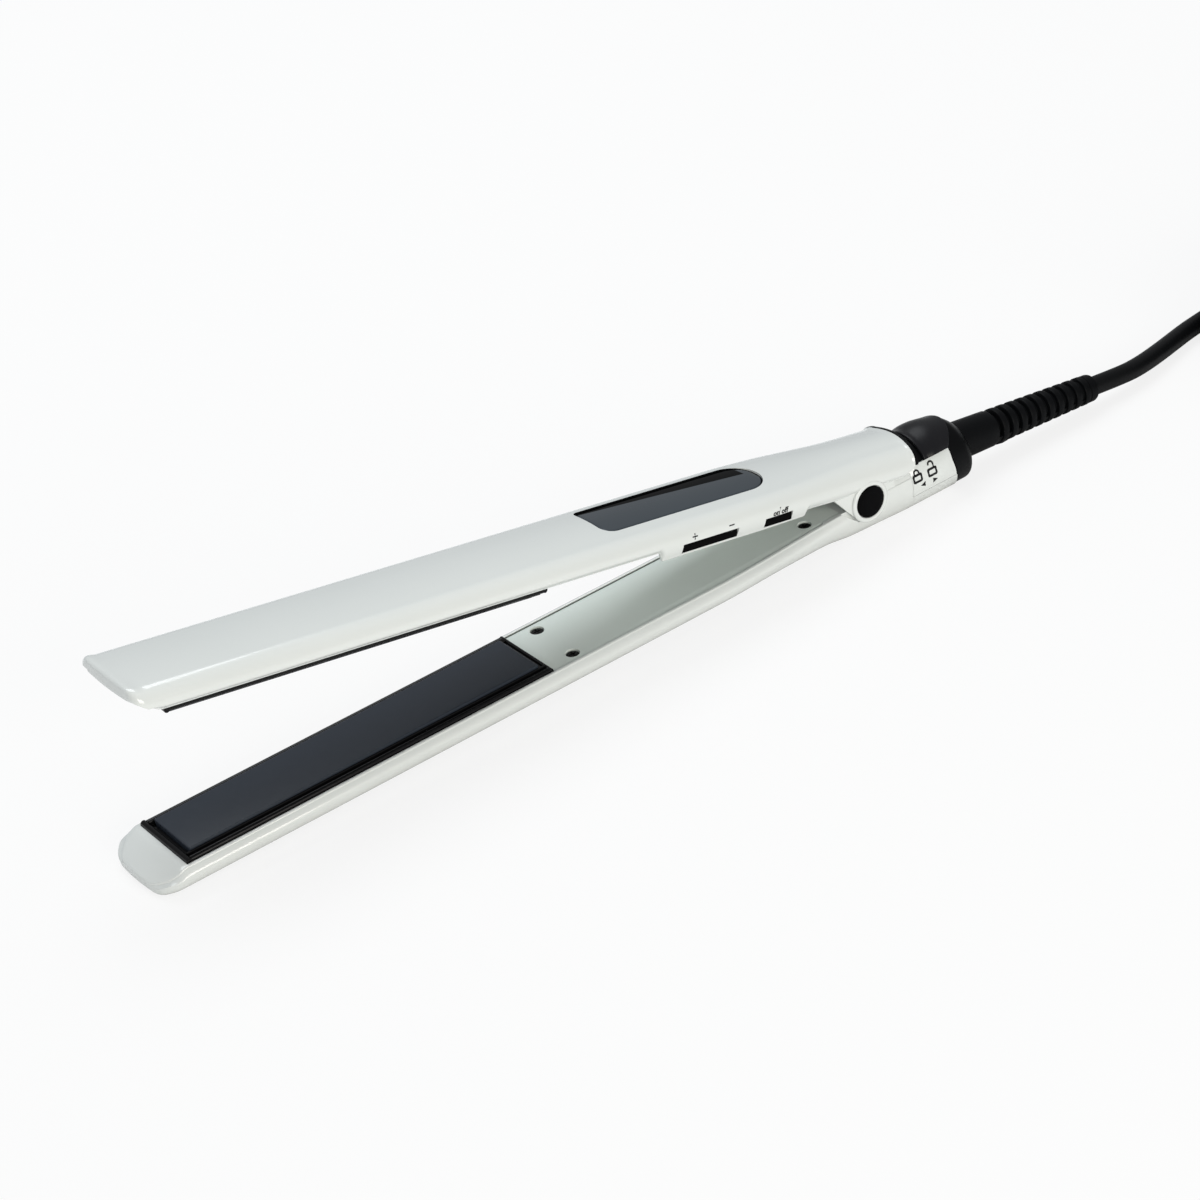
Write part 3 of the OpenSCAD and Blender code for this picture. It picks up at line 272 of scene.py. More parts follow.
tie_side = tie_half - tie_corner
tie_rings = [[(tie_x + t, y, z) for y, z in round_corners(
    hank_middle[1] - tie_side, hank_middle[1] + tie_side, tie_low + tie_corner, tie_high - tie_corner,
    2.3 + grow, 6)]
    for t, grow in ((-4.0, 0), (-3.7, 0.3), (3.7, 0.3), (4.0, 0))]
tie_points, tie_faces = loft(tie_rings, ends=False)
tie_strap = piece("tie_strap", tie_points, tie_faces, Matrix.Identity(4), None)
tie_thickness = 0.0007
wall = tie_strap.modifiers.new("thickness", "SOLIDIFY")
wall.thickness, wall.offset = tie_thickness, -1
tie_cloth = finish("tie_cloth", (0.02, 0.02, 0.022), (0.035, 0.035, 0.038), 0.85, 0.1, 1800, 0.00015)
weave = tie_cloth.node_tree.nodes.new("ShaderNodeTexWave")
threads_per_metre = 420
weave.inputs["Scale"].default_value = threads_per_metre
weave.bands_direction = "X"
tie_nodes, tie_links = tie_cloth.node_tree.nodes, tie_cloth.node_tree.links
tie_links.new(tie_nodes["Texture Coordinate"].outputs["Object"], weave.inputs["Vector"])
tie_links.new(weave.outputs["Fac"], tie_nodes["Bump"].inputs["Height"])
tie_strap.data.materials.append(tie_cloth)
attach(smooth(tie_strap, 50), "lower_arm")
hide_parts("cord_tie")

# ---- Bend guard --------------------------------------------------------------
# Tapered guard in soft black rubber on the swivel: a smooth neck with a shallow collar
# ridge, then ten ribs over a thin core, joined by two webs, and a plain end ring.
guard_points, guard_faces = [], []


def add_skin(points, faces, rings, ends=True):
    """Adds a lofted skin to a list of points and faces."""
    more, sheet = loft(rings, ends)
    first = len(points)
    points += more
    faces += [tuple(first + i for i in face) for face in sheet]


def guard_r(z):
    """The guard's tapering radius, z millimetres from the pivot."""
    return 6.4 - 1.75 * (z - 4.5) / 60


def turned(x, r):
    """A round ring in the YZ plane."""
    return oval(x, r, r, 2, 48)


neck = [(3.6, 5.1), (4.5, 5.6), (4.7, 6.0), (5.2, guard_r(5.2)), (10, guard_r(10)),
        (16, guard_r(16)), (19.3, guard_r(19.3)), (19.7, guard_r(19.7) - 0.15), (19.8, 4.1), (60, 3.9)]
add_skin(guard_points, guard_faces, [turned(x, r) for x, r in neck])
first_rib, rib_pitch, rib_count = 21.7, 4.1, 10
for k in range(rib_count):
    z = first_rib + rib_pitch * k
    r = guard_r(z + 1)
    add_skin(guard_points, guard_faces, [turned(x, q) for x, q in (
        (z, 3.6), (z, r - 0.35), (z + 0.12, r - 0.1), (z + 0.4, r), (z + 2.0, r - 0.05), (z + 2.28, r - 0.15),
        (z + 2.4, r - 0.4), (z + 2.4, 3.6))], ends=False)
for turn in (60, 240):
    bar = []
    for x in (19.6, 30, 40, 50, 61.4):
        ring = []
        for i in range(7):
            a = math.radians(turn - 14 + 28 * i / 6)
            ring.append((x, (guard_r(x) - 0.5) * math.sin(a), (guard_r(x) - 0.5) * math.cos(a)))
        for a in (turn + 14, turn - 14):
            ring.append((x, 3.4 * math.sin(math.radians(a)), 3.4 * math.cos(math.radians(a))))
        bar.append(ring)
    add_skin(guard_points, guard_faces, bar)
add_skin(guard_points, guard_faces, [turned(x, r) for x, r in (
    (61.2, 3.6), (61.2, 4.3), (61.5, 4.62), (63.7, 4.58), (64.3, 4.4), (64.5, 4.1),
    (64.5, 3.35), (60.8, 3.35))], ends=False)
# the small ridge under the neck, where its mould closed
add_skin(guard_points, guard_faces, [
    [(x, 2.0 * c, -(guard_r(x) - 0.9 + h * s)) for c, s in (
        (-1, 0), (-0.8, 0.75), (-0.4, 1), (0.4, 1), (0.8, 0.75), (1, 0))]
    for x, h in ((21.4, 0.5), (22.2, 1.4), (24.6, 1.8), (26.8, 1.5), (27.8, 0.6))])
soft_black = finish("soft_black", (0.0022, 0.0025, 0.003), (0.0035, 0.0038, 0.0045), 0.46, 0.08, 2400,
                    0.00004, specular=0.07)
bend_guard = smooth(piece("bend_guard", guard_points, guard_faces, guard_place, soft_black), 35)
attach(bend_guard, "cord_turn")
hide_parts("cord_guard")

# ---- End collar --------------------------------------------------------------
# Turned ring in satin black nylon that closes the barrel and holds the swivel. Its front
# edge leans back with the white barrel, and its rear edge is rounded over.
barrel_z, barrel_end, barrel_r = -6.1, 36.55, 11.5


def collar_lean(z):
    """How far the collar's rear edge stands back at a height."""
    return -0.155 * (z - barrel_z)


def barrel_end_x(z):
    """Where the white barrel ends: further back at the belly than at the top."""
    return barrel_end - 0.24 * max(-8, min(4, z + 7.5))


def round_barrel(x, r, lean=0.0):
    """A ring round the barrel's axis. Lean 1 follows the slanted end of the barrel."""
    ring = []
    for i in range(72):
        a = 2 * math.pi * i / 72
        z = barrel_z + r * math.cos(a)
        ring.append((x + lean * (barrel_end_x(z) - barrel_end), r * math.sin(a), z))
    return ring


collar_rings = [round_barrel(x, r, lean=1)
                for x, r in ((36.75, 9.0), (36.75, 10.6), (36.8, 11.0), (37.0, 11.25))]
for x, r, share in ((41.9, 11.25, 1), (42.6, 11.13, 1), (43.3, 10.8, 1), (44.0, 10.25, 0.95),
                    (44.6, 9.6, 0.85), (45.15, 8.85, 0.7), (45.6, 8.1, 0.55), (45.9, 7.45, 0.4),
                    (45.95, 7.0, 0.3), (45.5, 6.8, 0.2), (41, 6.8, 0)):
    collar_rings.append([(px + share * collar_lean(pz), py, pz) for px, py, pz in round_barrel(x, r)])
hard_black = finish("hard_black", (0.002, 0.0022, 0.0026), (0.0032, 0.0035, 0.004), 0.34, 0.07, 3400,
                    0.000025, specular=0.08)
collar = smooth(piece("collar", *loft(collar_rings, ends=False), lower_place, hard_black), 40)
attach(collar, "lower_arm")
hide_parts("end_collar")

# ---- Lower shell -------------------------------------------------------------
# Injection-moulded pearl white ABS, 1.6 mm thick and polished: a long trough, closed at the
# tip, that swells into the round barrel behind the hinge. Moulded-in walls fill its inside
# at the hinge: a cheek and a thicker shoulder on each side, and a shelf behind the cover.
tip_x = -258.6


def draw_in(d, r):
    """How far a corner of radius r has come in, at a distance d from its end."""
    return 0 if d >= r else r - math.sqrt(max(0, r * r - (r - d) * (r - d)))


def half_shape(rim, rim_d, wide, back, shoulder, crown, lip):
    """Half a cross section, from the rim over the side and shoulder to the middle of the back.
    A lip above 0 rounds the rim's outer edge, and one below 0 its inner edge."""
    shape = [(rim - lip + lip * math.sin(a), rim_d + abs(lip) * (1 - math.cos(a)))
             for a in (0, math.pi / 6, math.pi / 3)]
    shoulder = min(shoulder, back - rim_d - 0.6)
    turn_d = back - crown - shoulder
    for i in range(5):
        t = i / 5
        shape.append((rim + (wide - rim) * (1 - (1 - t) ** 1.8),
                      rim_d + abs(lip) + (turn_d - rim_d - abs(lip)) * t))
    for i in range(10):
        a = math.pi / 2 * i / 9
        shape.append((wide - shoulder + shoulder * math.cos(a), turn_d + shoulder * math.sin(a)))
    flat = wide - shoulder
    for t in (0.8, 0.6, 0.4, 0.2, 0):
        shape.append((flat * t, back - crown * t * t))
    return shape


def flowing(rows, x):
    """The row's values at x, on a smooth line through the rows that never overshoots."""
    xs = [row[0] for row in rows]
    if x <= xs[0] or x >= xs[-1]:
        return list(rows[0][1:] if x <= xs[0] else rows[-1][1:])
    k = max(i for i in range(len(xs) - 1) if xs[i] <= x)
    h = xs[k + 1] - xs[k]
    t = (x - xs[k]) / h
    out = []
    for c in range(1, len(rows[0])):
        slope = [(rows[i + 1][c] - rows[i][c]) / (xs[i + 1] - xs[i]) for i in range(len(xs) - 1)]
        ends = []
        for i in (k, k + 1):
            if i in (0, len(slope)):
                ends.append(0.0)
            else:
                a, b = slope[i - 1], slope[i]
                ends.append(0.0 if a * b <= 0 else 2 * a * b / (a + b))
        out.append(rows[k][c] * (2 * t ** 3 - 3 * t * t + 1) + h * ends[0] * (t ** 3 - 2 * t * t + t)
                   + rows[k + 1][c] * (3 * t * t - 2 * t ** 3) + h * ends[1] * (t ** 3 - t * t))
    return out


def tip_shape(d, rim_d, back, shoulder, plan_r):
    """The cross section at a distance d from the tip, where the corners round in."""
    low = min(6.4 + rim_d - 2.3, back - 3)
    tuck = 1.2 * (1 - d / plan_r) if d < plan_r else 0
    edge_r = 1.6 if plan_r < 5 else 3
    return (14.4 - draw_in(d, plan_r) - tuck, low + (rim_d - low) * min(1, d / 9.2) + 0.5 * draw_in(d, 0.6),
            16 - draw_in(d, plan_r), back - draw_in(d + 0.1 * edge_r, edge_r), shoulder,
            0.5 * min(1, d / plan_r))


tip_end = 10.5


def arm_shell(name, side, body_rows, tip_back, tip_shoulder, plan_r, bowed, thick, rim_d, body_x, place,
              material, rear_x):
    """The skin of one arm. Side is -1 for the lower arm and 1 for the upper one."""
    points, faces = [], []

    def add(x, shape, bow=0.0):
        first = len(points)
        whole = shape + [(-y, d) for y, d in reversed(shape[:-1])]
        for y, d in whole:
            points.append((x + bow * (y / 16) ** 2, y, side * d))
        return list(range(first, len(points)))

    def strip(a, b):
        faces.extend((a[i], a[i + 1], b[i + 1], b[i]) for i in range(len(a) - 1))

    rings = []
    for d in (0, 0.06, 0.2, 0.45, 0.8, 1.4, 2.2, 3.2, 4.3, 5.5, 6.6, 7.5, 8.5, 9.5, tip_end):
        rim, edge, wide, back, shoulder, crown = tip_shape(d, rim_d, tip_back, tip_shoulder, plan_r)
        bow = bowed * max(0, 1 - d / 9)
        outer = add(tip_x + d, half_shape(rim, edge, wide, back, shoulder, crown, 0.45), bow)
        first = len(points)
        for t in (-0.9, -0.75, -0.5, -0.25, 0, 0.25, 0.5, 0.75, 0.9):
            y = t * (rim - 0.45)
            sunk = 0.25 * (1 - t * t) * min(1, (tip_end - d) / 3)
            points.append((tip_x + d + bow * (y / 16) ** 2, y, side * (edge - sunk)))
        rings.append((outer, list(range(first, len(points)))))
    for (a, ra), (b, rb) in zip(rings, rings[1:]):
        strip(a, b)
        strip([a[-1]] + ra + [a[0]], [b[-1]] + rb + [b[0]])
    centre = len(points)
    points.append((tip_x, 0, side * (tip_back - 1.7 + 6.4 + rim_d - 2.3) / 2))
    loop = rings[0][0] + rings[0][1]
    faces.extend((loop[i], loop[(i + 1) % len(loop)], centre) for i in range(len(loop)))
    last_outer, last_roof = rings[-1]

    def hollow(rim, edge, wide, back, shoulder, crown, w):
        return half_shape(rim - 0.75 * w, edge, wide - w, back - w, max(1.2, shoulder - w), crown, -0.15)

    previous = None
    for x in body_x:
        rim, edge, wide, back, shoulder, crown = flowing(body_rows, x)
        w = thick if back < 16.5 else thick + 0.3
        if previous is None:
            outer = last_outer
        else:
            outer = add(x, half_shape(rim, edge, wide, back, shoulder, crown, 0.45))
        inner = add(x, hollow(rim, edge, wide, back, shoulder, crown, w))
        if x == body_x[-1]:
            for i in outer + inner:
                points[i] = (rear_x(points[i]), points[i][1], points[i][2])
        if previous is None:
            faces.append((outer[-1], *last_roof, outer[0], *inner))
        else:
            strip(previous[0], outer)
            strip(previous[1], inner)
            for e in (0, -1):
                faces.append((previous[0][e], outer[e], inner[e], previous[1][e]))
        previous = (outer, inner)
    strip(*previous)
    return piece(name, points, faces, place, material)


# along the arm: x, half width and depth of the rim, half width, back, shoulder and crown
lower_rows = [(-248.1, 14.4, 2.3, 16, 10, 4.5, 0.5), (-60, 14.4, 2.3, 16, 10, 4.5, 0.5),
              (-44, 13.8, 2.3, 15.4, 10.1, 4.8, 0.5), (-30, 12.8, 2.3, 14.4, 11.2, 5.6, 0.8),
              (-16, 11.9, 2.3, 13.1, 13.2, 8, 0.6), (-4, 11.4, 2.3, 12.1, 15.9, 10, 0.3),
              (10, 11.1, 2.3, 11.5, 17.1, 11.1, 0), (20, 11.1, 2.3, 11.5, 17.6, 11.3, 0),
              (36.5, 11.1, 2.3, 11.5, 17.6, 11.3, 0)]
lower_x = ([-248.1, -245] + [-240 + 6 * i for i in range(30)] + [-62 + 2 * i for i in range(50)])
lower_x = [x for x in lower_x if x < 36] + [36.5]
pearl_white = finish("pearl_white", (0.70, 0.73, 0.715), (0.75, 0.775, 0.76), 0.20, 0.05, 900, 0.000012,
                     coat=0.7, patch=18,
                     coat_rough=0.05)
lower_shell = arm_shell("lower_arm_shell", -1, lower_rows, 10, 4.5, 7.5, 1.3, 1.6, 2.3, lower_x, lower_place,
                        pearl_white,
                        lambda p: barrel_end_x(p[2]))


hinge_z, open_angle = -1.4, 10.2


def about_hinge(degrees):
    """The lower arm's place, turned about the hinge's axis."""
    return (lower_place @ Matrix.Translation((0, 0, hinge_z * 0.001))
            @ Matrix.Rotation(math.radians(degrees), 4, "Y") @ Matrix.Translation((0, 0, -hinge_z * 0.001)))


def ear_line(grow=0.0):
    """The outline of an ear in the XZ plane: the pivot's ring and the point in front of it."""
    r = 6.85 + grow
    line = [(-15.5 - grow, 5.2), (-15.5 - grow, 3.2 - 1.6 * grow)]
    line += [(r * math.cos(math.radians(a)), hinge_z + r * math.sin(math.radians(a)))
             for a in range(228, 381, 8)]
    return line + [(r + grow + 3, 5.2)]


def prism(name, line, y0, y1, place):
    """A flat outline in the XZ plane, drawn out along Y."""
    return piece(name, *loft([[(x, y, z) for x, z in line] for y in (y0, y1)]), place, None)


def block(x0, x1, y0, y1, z0, z1):
    """The two end rings of a box."""
    return [[(x, y0, z0), (x, y1, z0), (x, y1, z1), (x, y0, z1)] for x in (x0, x1)]


def carve(made, *cutters):
    """Cuts other shapes out of a piece, and keeps the result as its own mesh."""
    for cutter in cutters:
        cut = made.modifiers.new("cut", "BOOLEAN")
        cut.operation, cut.solver, cut.object = "DIFFERENCE", "EXACT", cutter
    bpy.context.view_layer.update()
    result = bpy.data.meshes.new_from_object(made.evaluated_get(bpy.context.evaluated_depsgraph_get()))
    made.modifiers.clear()
    made.data = result
    for cutter in cutters:
        bpy.data.objects.remove(cutter, do_unlink=True)


ear_room = [prism("room", ear_line(0.42), s * 6.6, s * 20, about_hinge(a))
            for a in (0, open_angle / 2, open_angle) for s in (-1, 1)]
saddle_room = prism("room", [(18.6, -9.4), (60, -9.4), (60, 12), (18.6, 12)], -30, 30, lower_place)
for cutter in ear_room + [saddle_room]:
    carve(lower_shell, cutter)
carve(lower_shell, piece("flat", *loft(block(-400, 400, -60, 60, -60, 0)), Matrix.Identity(4), None))
cheek_r = 6.5
cheek_line = ([(-17, -9.0), (-17, -2.35)]
              + [(-cheek_r * math.cos(math.radians(a)), hinge_z + cheek_r * math.sin(math.radians(a)))
                 for a in range(-8, 154, 6)] + [(12, 1.5), (12, -9.0)])
walls_points, walls_faces = [], []
for s in (-1, 1):
    add_skin(walls_points, walls_faces, [[(x, s * y, z) for x, z in cheek_line] for y in (10.0, 10.85)])
    arc = [(r * math.cos(math.radians(a)), barrel_z + r * math.sin(math.radians(a))) for r, turns in
           ((11.42, range(-4, 42, 5)), (9.9, range(41, -5, -5))) for a in turns]
    add_skin(walls_points, walls_faces, [[(x, s * y, z) for y, z in arc] for x in (10.6, 18.65)])
add_skin(walls_points, walls_faces, block(-9.7, -5.9, -9.9, 9.9, -2.8, -3.8))
inner_walls = piece("inner_walls", walls_points, walls_faces, lower_place, pearl_white)
for made in (lower_shell, inner_walls):
    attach(smooth(made), "lower_arm")
    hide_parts("lower_shell")

# ---- Rear saddle -------------------------------------------------------------
# A separate white moulding that closes the top of the barrel, clipped in along a fine
# parting line, with a bed for the black slide between its two side panels.
saddle_reach, bed_reach, bed_r, saddle_in = 106, 55.3, 10.3, 9.6
saddle_rings = []
saddle_xs = [18.8, 19.0, 24, 30, 36.3, 36.5]
for n, x in enumerate(saddle_xs):
    ring = []
    edge = 0.12 if n in (0, len(saddle_xs) - 1) else 0.0
    angles = [-saddle_reach + 2 * saddle_reach * i / 72 for i in range(73)]
    for a in angles:
        r = barrel_r - edge if abs(a) > bed_reach else bed_r
        ring.append((a, r))
    outer = [(r * math.sin(math.radians(a)), barrel_z + r * math.cos(math.radians(a))) for a, r in ring]
    inner = [(saddle_in * math.sin(math.radians(a)), barrel_z + saddle_in * math.cos(math.radians(a)))
             for a in reversed(angles)]
    saddle_rings.append([(x if x < 30 else x + barrel_end_x(z) - barrel_end, y, z) for y, z in outer + inner])
saddle = smooth(piece("saddle", *loft(saddle_rings), lower_place, pearl_white))
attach(saddle, "lower_arm")
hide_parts("rear_saddle")

# ---- Lock marks --------------------------------------------------------------
# Pad-printed in black on the near panel of the saddle: a closed padlock with an arrow
# towards the tips, and an open padlock with an arrow towards the lead.
print_black = finish("print_black", (0.008, 0.008, 0.009), (0.012, 0.012, 0.013), 0.5, 0.05, 2500, 0.000005,
                     specular=0.15)
ink = 0.03


def on_barrel(x, drop):
    """A spot on the near side of the barrel, drop millimetres of arc below the axis' height."""
    r = barrel_r + ink
    a = drop / r
    return (x, -r * math.cos(a), barrel_z - r * math.sin(a))


mark_points, mark_faces = [], []


def print_patch(outline, place_spot):
    """Adds a closed printed shape, filled round its middle."""
    first = len(mark_points)
    cx = sum(p[0] for p in outline) / len(outline)
    cy = sum(p[1] for p in outline) / len(outline)
    mark_points.append(place_spot(cx, cy))
    mark_points.extend(place_spot(*p) for p in outline)
    n = len(outline)
    mark_faces.extend((first, first + 1 + i, first + 1 + (i + 1) % n) for i in range(n))


def print_line(line, width, place_spot):
    """Adds a printed line of even width along a row of spots."""
    for (ax, ay), (bx, by) in zip(line, line[1:]):
        length = math.hypot(bx - ax, by - ay)
        nx, ny = -(by - ay) / length * width / 2, (bx - ax) / length * width / 2
        ex, ey = (bx - ax) / length * width * 0.2, (by - ay) / length * width * 0.2
        print_patch([(ax + nx - ex, ay + ny - ey), (bx + nx + ex, by + ny + ey),
                     (bx - nx + ex, by - ny + ey), (ax - nx - ex, ay - ny - ey)], place_spot)


def padlock(x, drop, open_shackle):
    """A padlock lying on its side, its body towards the belly."""
    def spot(u, v):
        return on_barrel(x + u, drop + v)
    body = round_corners(-1.25, 1.25, 0.05, 1.6, 0.3, 2)
    print_line(body + [body[0]], 0.8, spot)
    lift, r = 0.75 if open_shackle else 0.0, 0.9
    shackle = [(r * math.cos(a), -1.0 - lift - r * math.sin(a)) for a in [math.pi * i / 8 for i in range(9)]]
    print_line([(r, 0.0)] + shackle + ([] if open_shackle else [(-r, 0.0)]), 0.62, spot)


padlock(21.0, -3.4, False)
padlock(27.0, -3.2, True)
print_patch([(23.7, -0.55), (23.7, 1.25), (21.7, 0.35)], on_barrel)
print_patch([(26.8, -0.2), (26.8, 1.6), (28.8, 0.7)], on_barrel)
lock_marks = piece("lock_marks", mark_points, mark_faces, lower_place, print_black, tidy=False)
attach(lock_marks, "lower_arm")

# ---- Slide track and lock slide ----------------------------------------------
# The track is a thin black sheet in the saddle's bed. The slide on it is satin black
# nylon, shaped like a saddle for the thumb, and locks the arms shut when pushed forward.
bpy.data.objects["slide_track"].data.materials.clear()
bpy.data.objects["slide_track"].data.materials.append(hard_black)
slide_profile = [(25.4, 11.6), (25.42, 12.0), (25.6, 12.3), (26.0, 12.38), (26.6, 12.3), (27.4, 12.24),
                 (28.4, 12.4), (29.6, 12.72), (31.0, 12.92), (32.8, 12.97), (34.6, 12.88), (36.4, 12.6),
                 (38.2, 12.28), (39.8, 12.05),
                 (40.5, 11.95), (40.75, 11.85), (40.8, 11.6)]
slide_black = finish("slide_black", (0.006, 0.006, 0.0075), (0.009, 0.009, 0.011), 0.36, 0.07, 3400, 0.00002,
                     specular=0.18)
slide_front, slide_rear, slide_long, slide_under = 25.4, 40.8, 15.4, 11.55
slide_half_w, slide_bow, slide_across = 9.6, 5.3, 33
slide_half = math.degrees(math.asin(slide_half_w / 11.6))
slide_edge_r = (slide_half_w ** 2 + slide_bow ** 2) / (2 * slide_bow)
slide_rings = []
for x, r in slide_profile + [(slide_rear, slide_under), (slide_front, slide_under)]:
    ring = []
    for i in range(slide_across):
        a = math.radians(slide_half * (i - 16) / 16)
        ease_down = 0.25 if i in (0, 32) else (0.06 if i in (1, 31) else 0.0)
        q = max(slide_under, r - ease_down)
        y = q * math.sin(a)
        back = slide_edge_r - math.sqrt(slide_edge_r ** 2 - y * y)
        ring.append((slide_front + (x - slide_front) * (slide_long - back) / slide_long, y,
                     barrel_z + q * math.cos(a)))
    slide_rings.append(ring)
slide_points = [p for ring in slide_rings for p in ring]
slide_faces = []
for i in range(len(slide_rings)):
    j = (i + 1) % len(slide_rings)
    slide_faces += [(i * slide_across + k, i * slide_across + k + 1,
                     j * slide_across + k + 1, j * slide_across + k)
                    for k in range(slide_across - 1)]
slide_faces += [tuple(i * slide_across for i in range(len(slide_rings))),
                tuple((i + 1) * slide_across - 1 for i in range(len(slide_rings) - 1, -1, -1))]
lock_slide = smooth(piece("lock_slide", slide_points, slide_faces, lower_place, slide_black), 40)
foot = piece("slide_foot", *loft(block(26.5, 33, -1.8, 1.8, 2.6, 5.9)), lower_place, hard_black)
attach(lock_slide, "lock_slide_body")
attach(foot, "lock_slide_body")
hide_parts("lock_slider")
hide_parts("lock_slider")

# ---- Plate frames ------------------------------------------------------------
# Glossy black carriers in heat-proof nylon, one in each arm: a rim with a rounded bead along
# each side and a half-round bar across each end, round the opening that the plate floats in.
upper_place = about_hinge(open_angle)
frame_back, bar_half = 5.6, 13.1
gloss_black = finish("gloss_black", (0.002, 0.002, 0.0022), (0.003, 0.003, 0.0035), 0.14, 0.04, 1400,
                     0.000006, specular=0.2)


def frame_side(x, top, side, mirror):
    """One slice of a long side: a lip by the plate, a low flat, a round bead and the outer wall."""
    bead = [(12.1 + 0.95 * math.cos(a), top - 0.85 * math.sin(a))
            for a in [math.pi * i / 10 for i in range(11)]]
    shape = ([(10.25, frame_back), (10.25, 0.95), (10.35, 0.8),
              (10.8, 0.8), (10.95, 0.95), (11.05, top + 0.1)]
             + bead[::-1] + [(13.05, top + 0.2), (13.05, frame_back)])
    return [(x, mirror * y, side * d) for y, d in shape]


def plate_frame(name, side, top, place):
    """Two long sides and two end bars, their beads standing at the depth top."""
    points, faces = [], []
    for mirror in (-1, 1):
        add_skin(points, faces, [frame_side(x, top, side, mirror) for x in (-246.3, -123.0)])
    for x0, x1, r, bar in ((-248, -245.25, 0.95, -247.05), (-124.75, -122, 0.65, -122.66)):
        rings = []
        for y, shrink in ((-bar_half, 0.12), (0.1 - bar_half, 0), (bar_half - 0.1, 0), (bar_half, 0.12)):
            shape = [(bar + (r - shrink) * math.cos(a), top - (r - shrink) * math.sin(a))
                     for a in [math.pi * i / 12 for i in range(13)]]
            rings.append([(x, y, side * d) for x, d in
                          shape[::-1] + [(x1, top), (x1, frame_back), (x0, frame_back), (x0, top)]])
        add_skin(points, faces, rings)
    return smooth(piece(name, points, faces, place, gloss_black), 40)


lower_frame = plate_frame("lower_frame", -1, 2.0, lower_place)
upper_frame = plate_frame("upper_frame", 1, 2.8, upper_place)
for made, arm in ((lower_frame, "lower_arm"), (upper_frame, "upper_arm")):
    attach(made, arm)
    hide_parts(arm.split("_")[0] + "_plate_frame")

# ---- Hot plates --------------------------------------------------------------
# Flat aluminium plates, 120 by 20 mm, ground and coated dark blue-grey, with eased edges.
# Each floats on two silicone pads and is held in its frame by a flange.
plate_coat = finish("plate_coat", (0.022, 0.028, 0.038), (0.028, 0.035, 0.048), 0.24, 0.05, 900, 0.000004,
                    patch=30,
                    stretch=(0.25, 1, 1), specular=0.22)


plate_front, plate_rear, plate_half, plate_corner, flange_out = -245, -125, 10, 0.45, 0.6


def hot_plate(name, side, place):
    """A plate with eased edges on a flange a little wider than itself."""
    x0, x1, y1 = plate_front + plate_corner, plate_rear - plate_corner, plate_half - plate_corner
    rings = [[(x, y, side * d) for x, y in round_corners(x0, x1, -y1, y1, plate_corner - inset, 3)]
             for inset, d in ((0, 3.2), (0, 0.4), (0.08, 0.22), (0.22, 0.13), (0.42, 0.1))]
    points, faces = loft(rings)
    x0, x1, y1 = plate_front - flange_out, plate_rear + flange_out, plate_half + 0.9
    add_skin(points, faces, [[(x, y, side * d) for x, y in ((x0, -y1), (x1, -y1), (x1, y1), (x0, y1))]
                             for d in (3.1, 4.0)])
    return smooth(piece(name, points, faces, place, plate_coat), 25)


for name, side, place in (("lower", -1, lower_place), ("upper", 1, upper_place)):
    made = hot_plate(name + "_hot_plate", side, place)
    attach(made, name + "_heat_unit")
    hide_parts(name + "_plate")

# ---- Inner covers ------------------------------------------------------------
# Flat covers behind the plates, moulded in ABS and sprayed satin silver, with a chamfered
# edge. They narrow towards the hinge, and each is held by four screws in round recesses.
silver_paint = finish("silver_paint", (0.64, 0.695, 0.66), (0.67, 0.725, 0.69), 0.42, 0.06, 5200, 0.000012,
                      metal=0.05, patch=26, specular=0.4)
screw_places = [(-112.3, 9.1), (-112.3, -9.1), (-21, 6.3), (-21, -6.3)]
cover_front, cover_bend, cover_half = -121.85, -58, 13.0
lower_cover_depth, upper_cover_depth = 2.65, 5.0


def round_ring(x, y, d, r, sides):
    """A circle about a spot on an arm, at the depth d."""
    return [(x + r * math.cos(2 * math.pi * i / sides), y + r * math.sin(2 * math.pi * i / sides), d)
            for i in range(sides)]


def inner_cover(name, side, depth, rear, rear_w, place):
    """A cover with its face at the depth given, narrowing to rear_w on each side at its rear."""
    def line(inset, d):
        front, half = cover_front + inset, cover_half - inset
        return [(x, y, side * d) for x, y in ((front, -half), (cover_bend, -half), (rear, inset - rear_w),
                                              (rear, rear_w - inset), (cover_bend, half), (front, half))]
    made = piece(name, *loft([line(inset, depth + under) for inset, under in (
        (0, 1.5), (0, 0.4), (0.12, 0.2), (0.4, 0.02), (0.5, 0))]), place, silver_paint)
    wells = [piece("well", *loft([round_ring(x, y, side * (depth + d), r, 32) for d, r in (
        (1.1, 2.2), (0.12, 2.2), (-0.2, 2.5))]), place, None) for x, y in screw_places]
    carve(made, *wells)
    return made


lower_cover = inner_cover("lower_cover", -1, lower_cover_depth, -9.5, 9.4, lower_place)
for s in (-1, 1):
    carve(lower_cover, prism("room", ear_line(0.3), s * 9.9, s * 20, lower_place))
upper_cover = inner_cover("upper_cover", 1, upper_cover_depth, -17.5, 10.6, upper_place)
carve(upper_cover, piece("room", *loft(block(-77.2, -29.3, -20, -7.9, 0, 10)), upper_place, None))
for made, arm in ((lower_cover, "lower_arm"), (upper_cover, "upper_arm")):
    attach(smooth(made, 20), arm)
    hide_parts(arm.split("_")[0] + "_inner_cover")

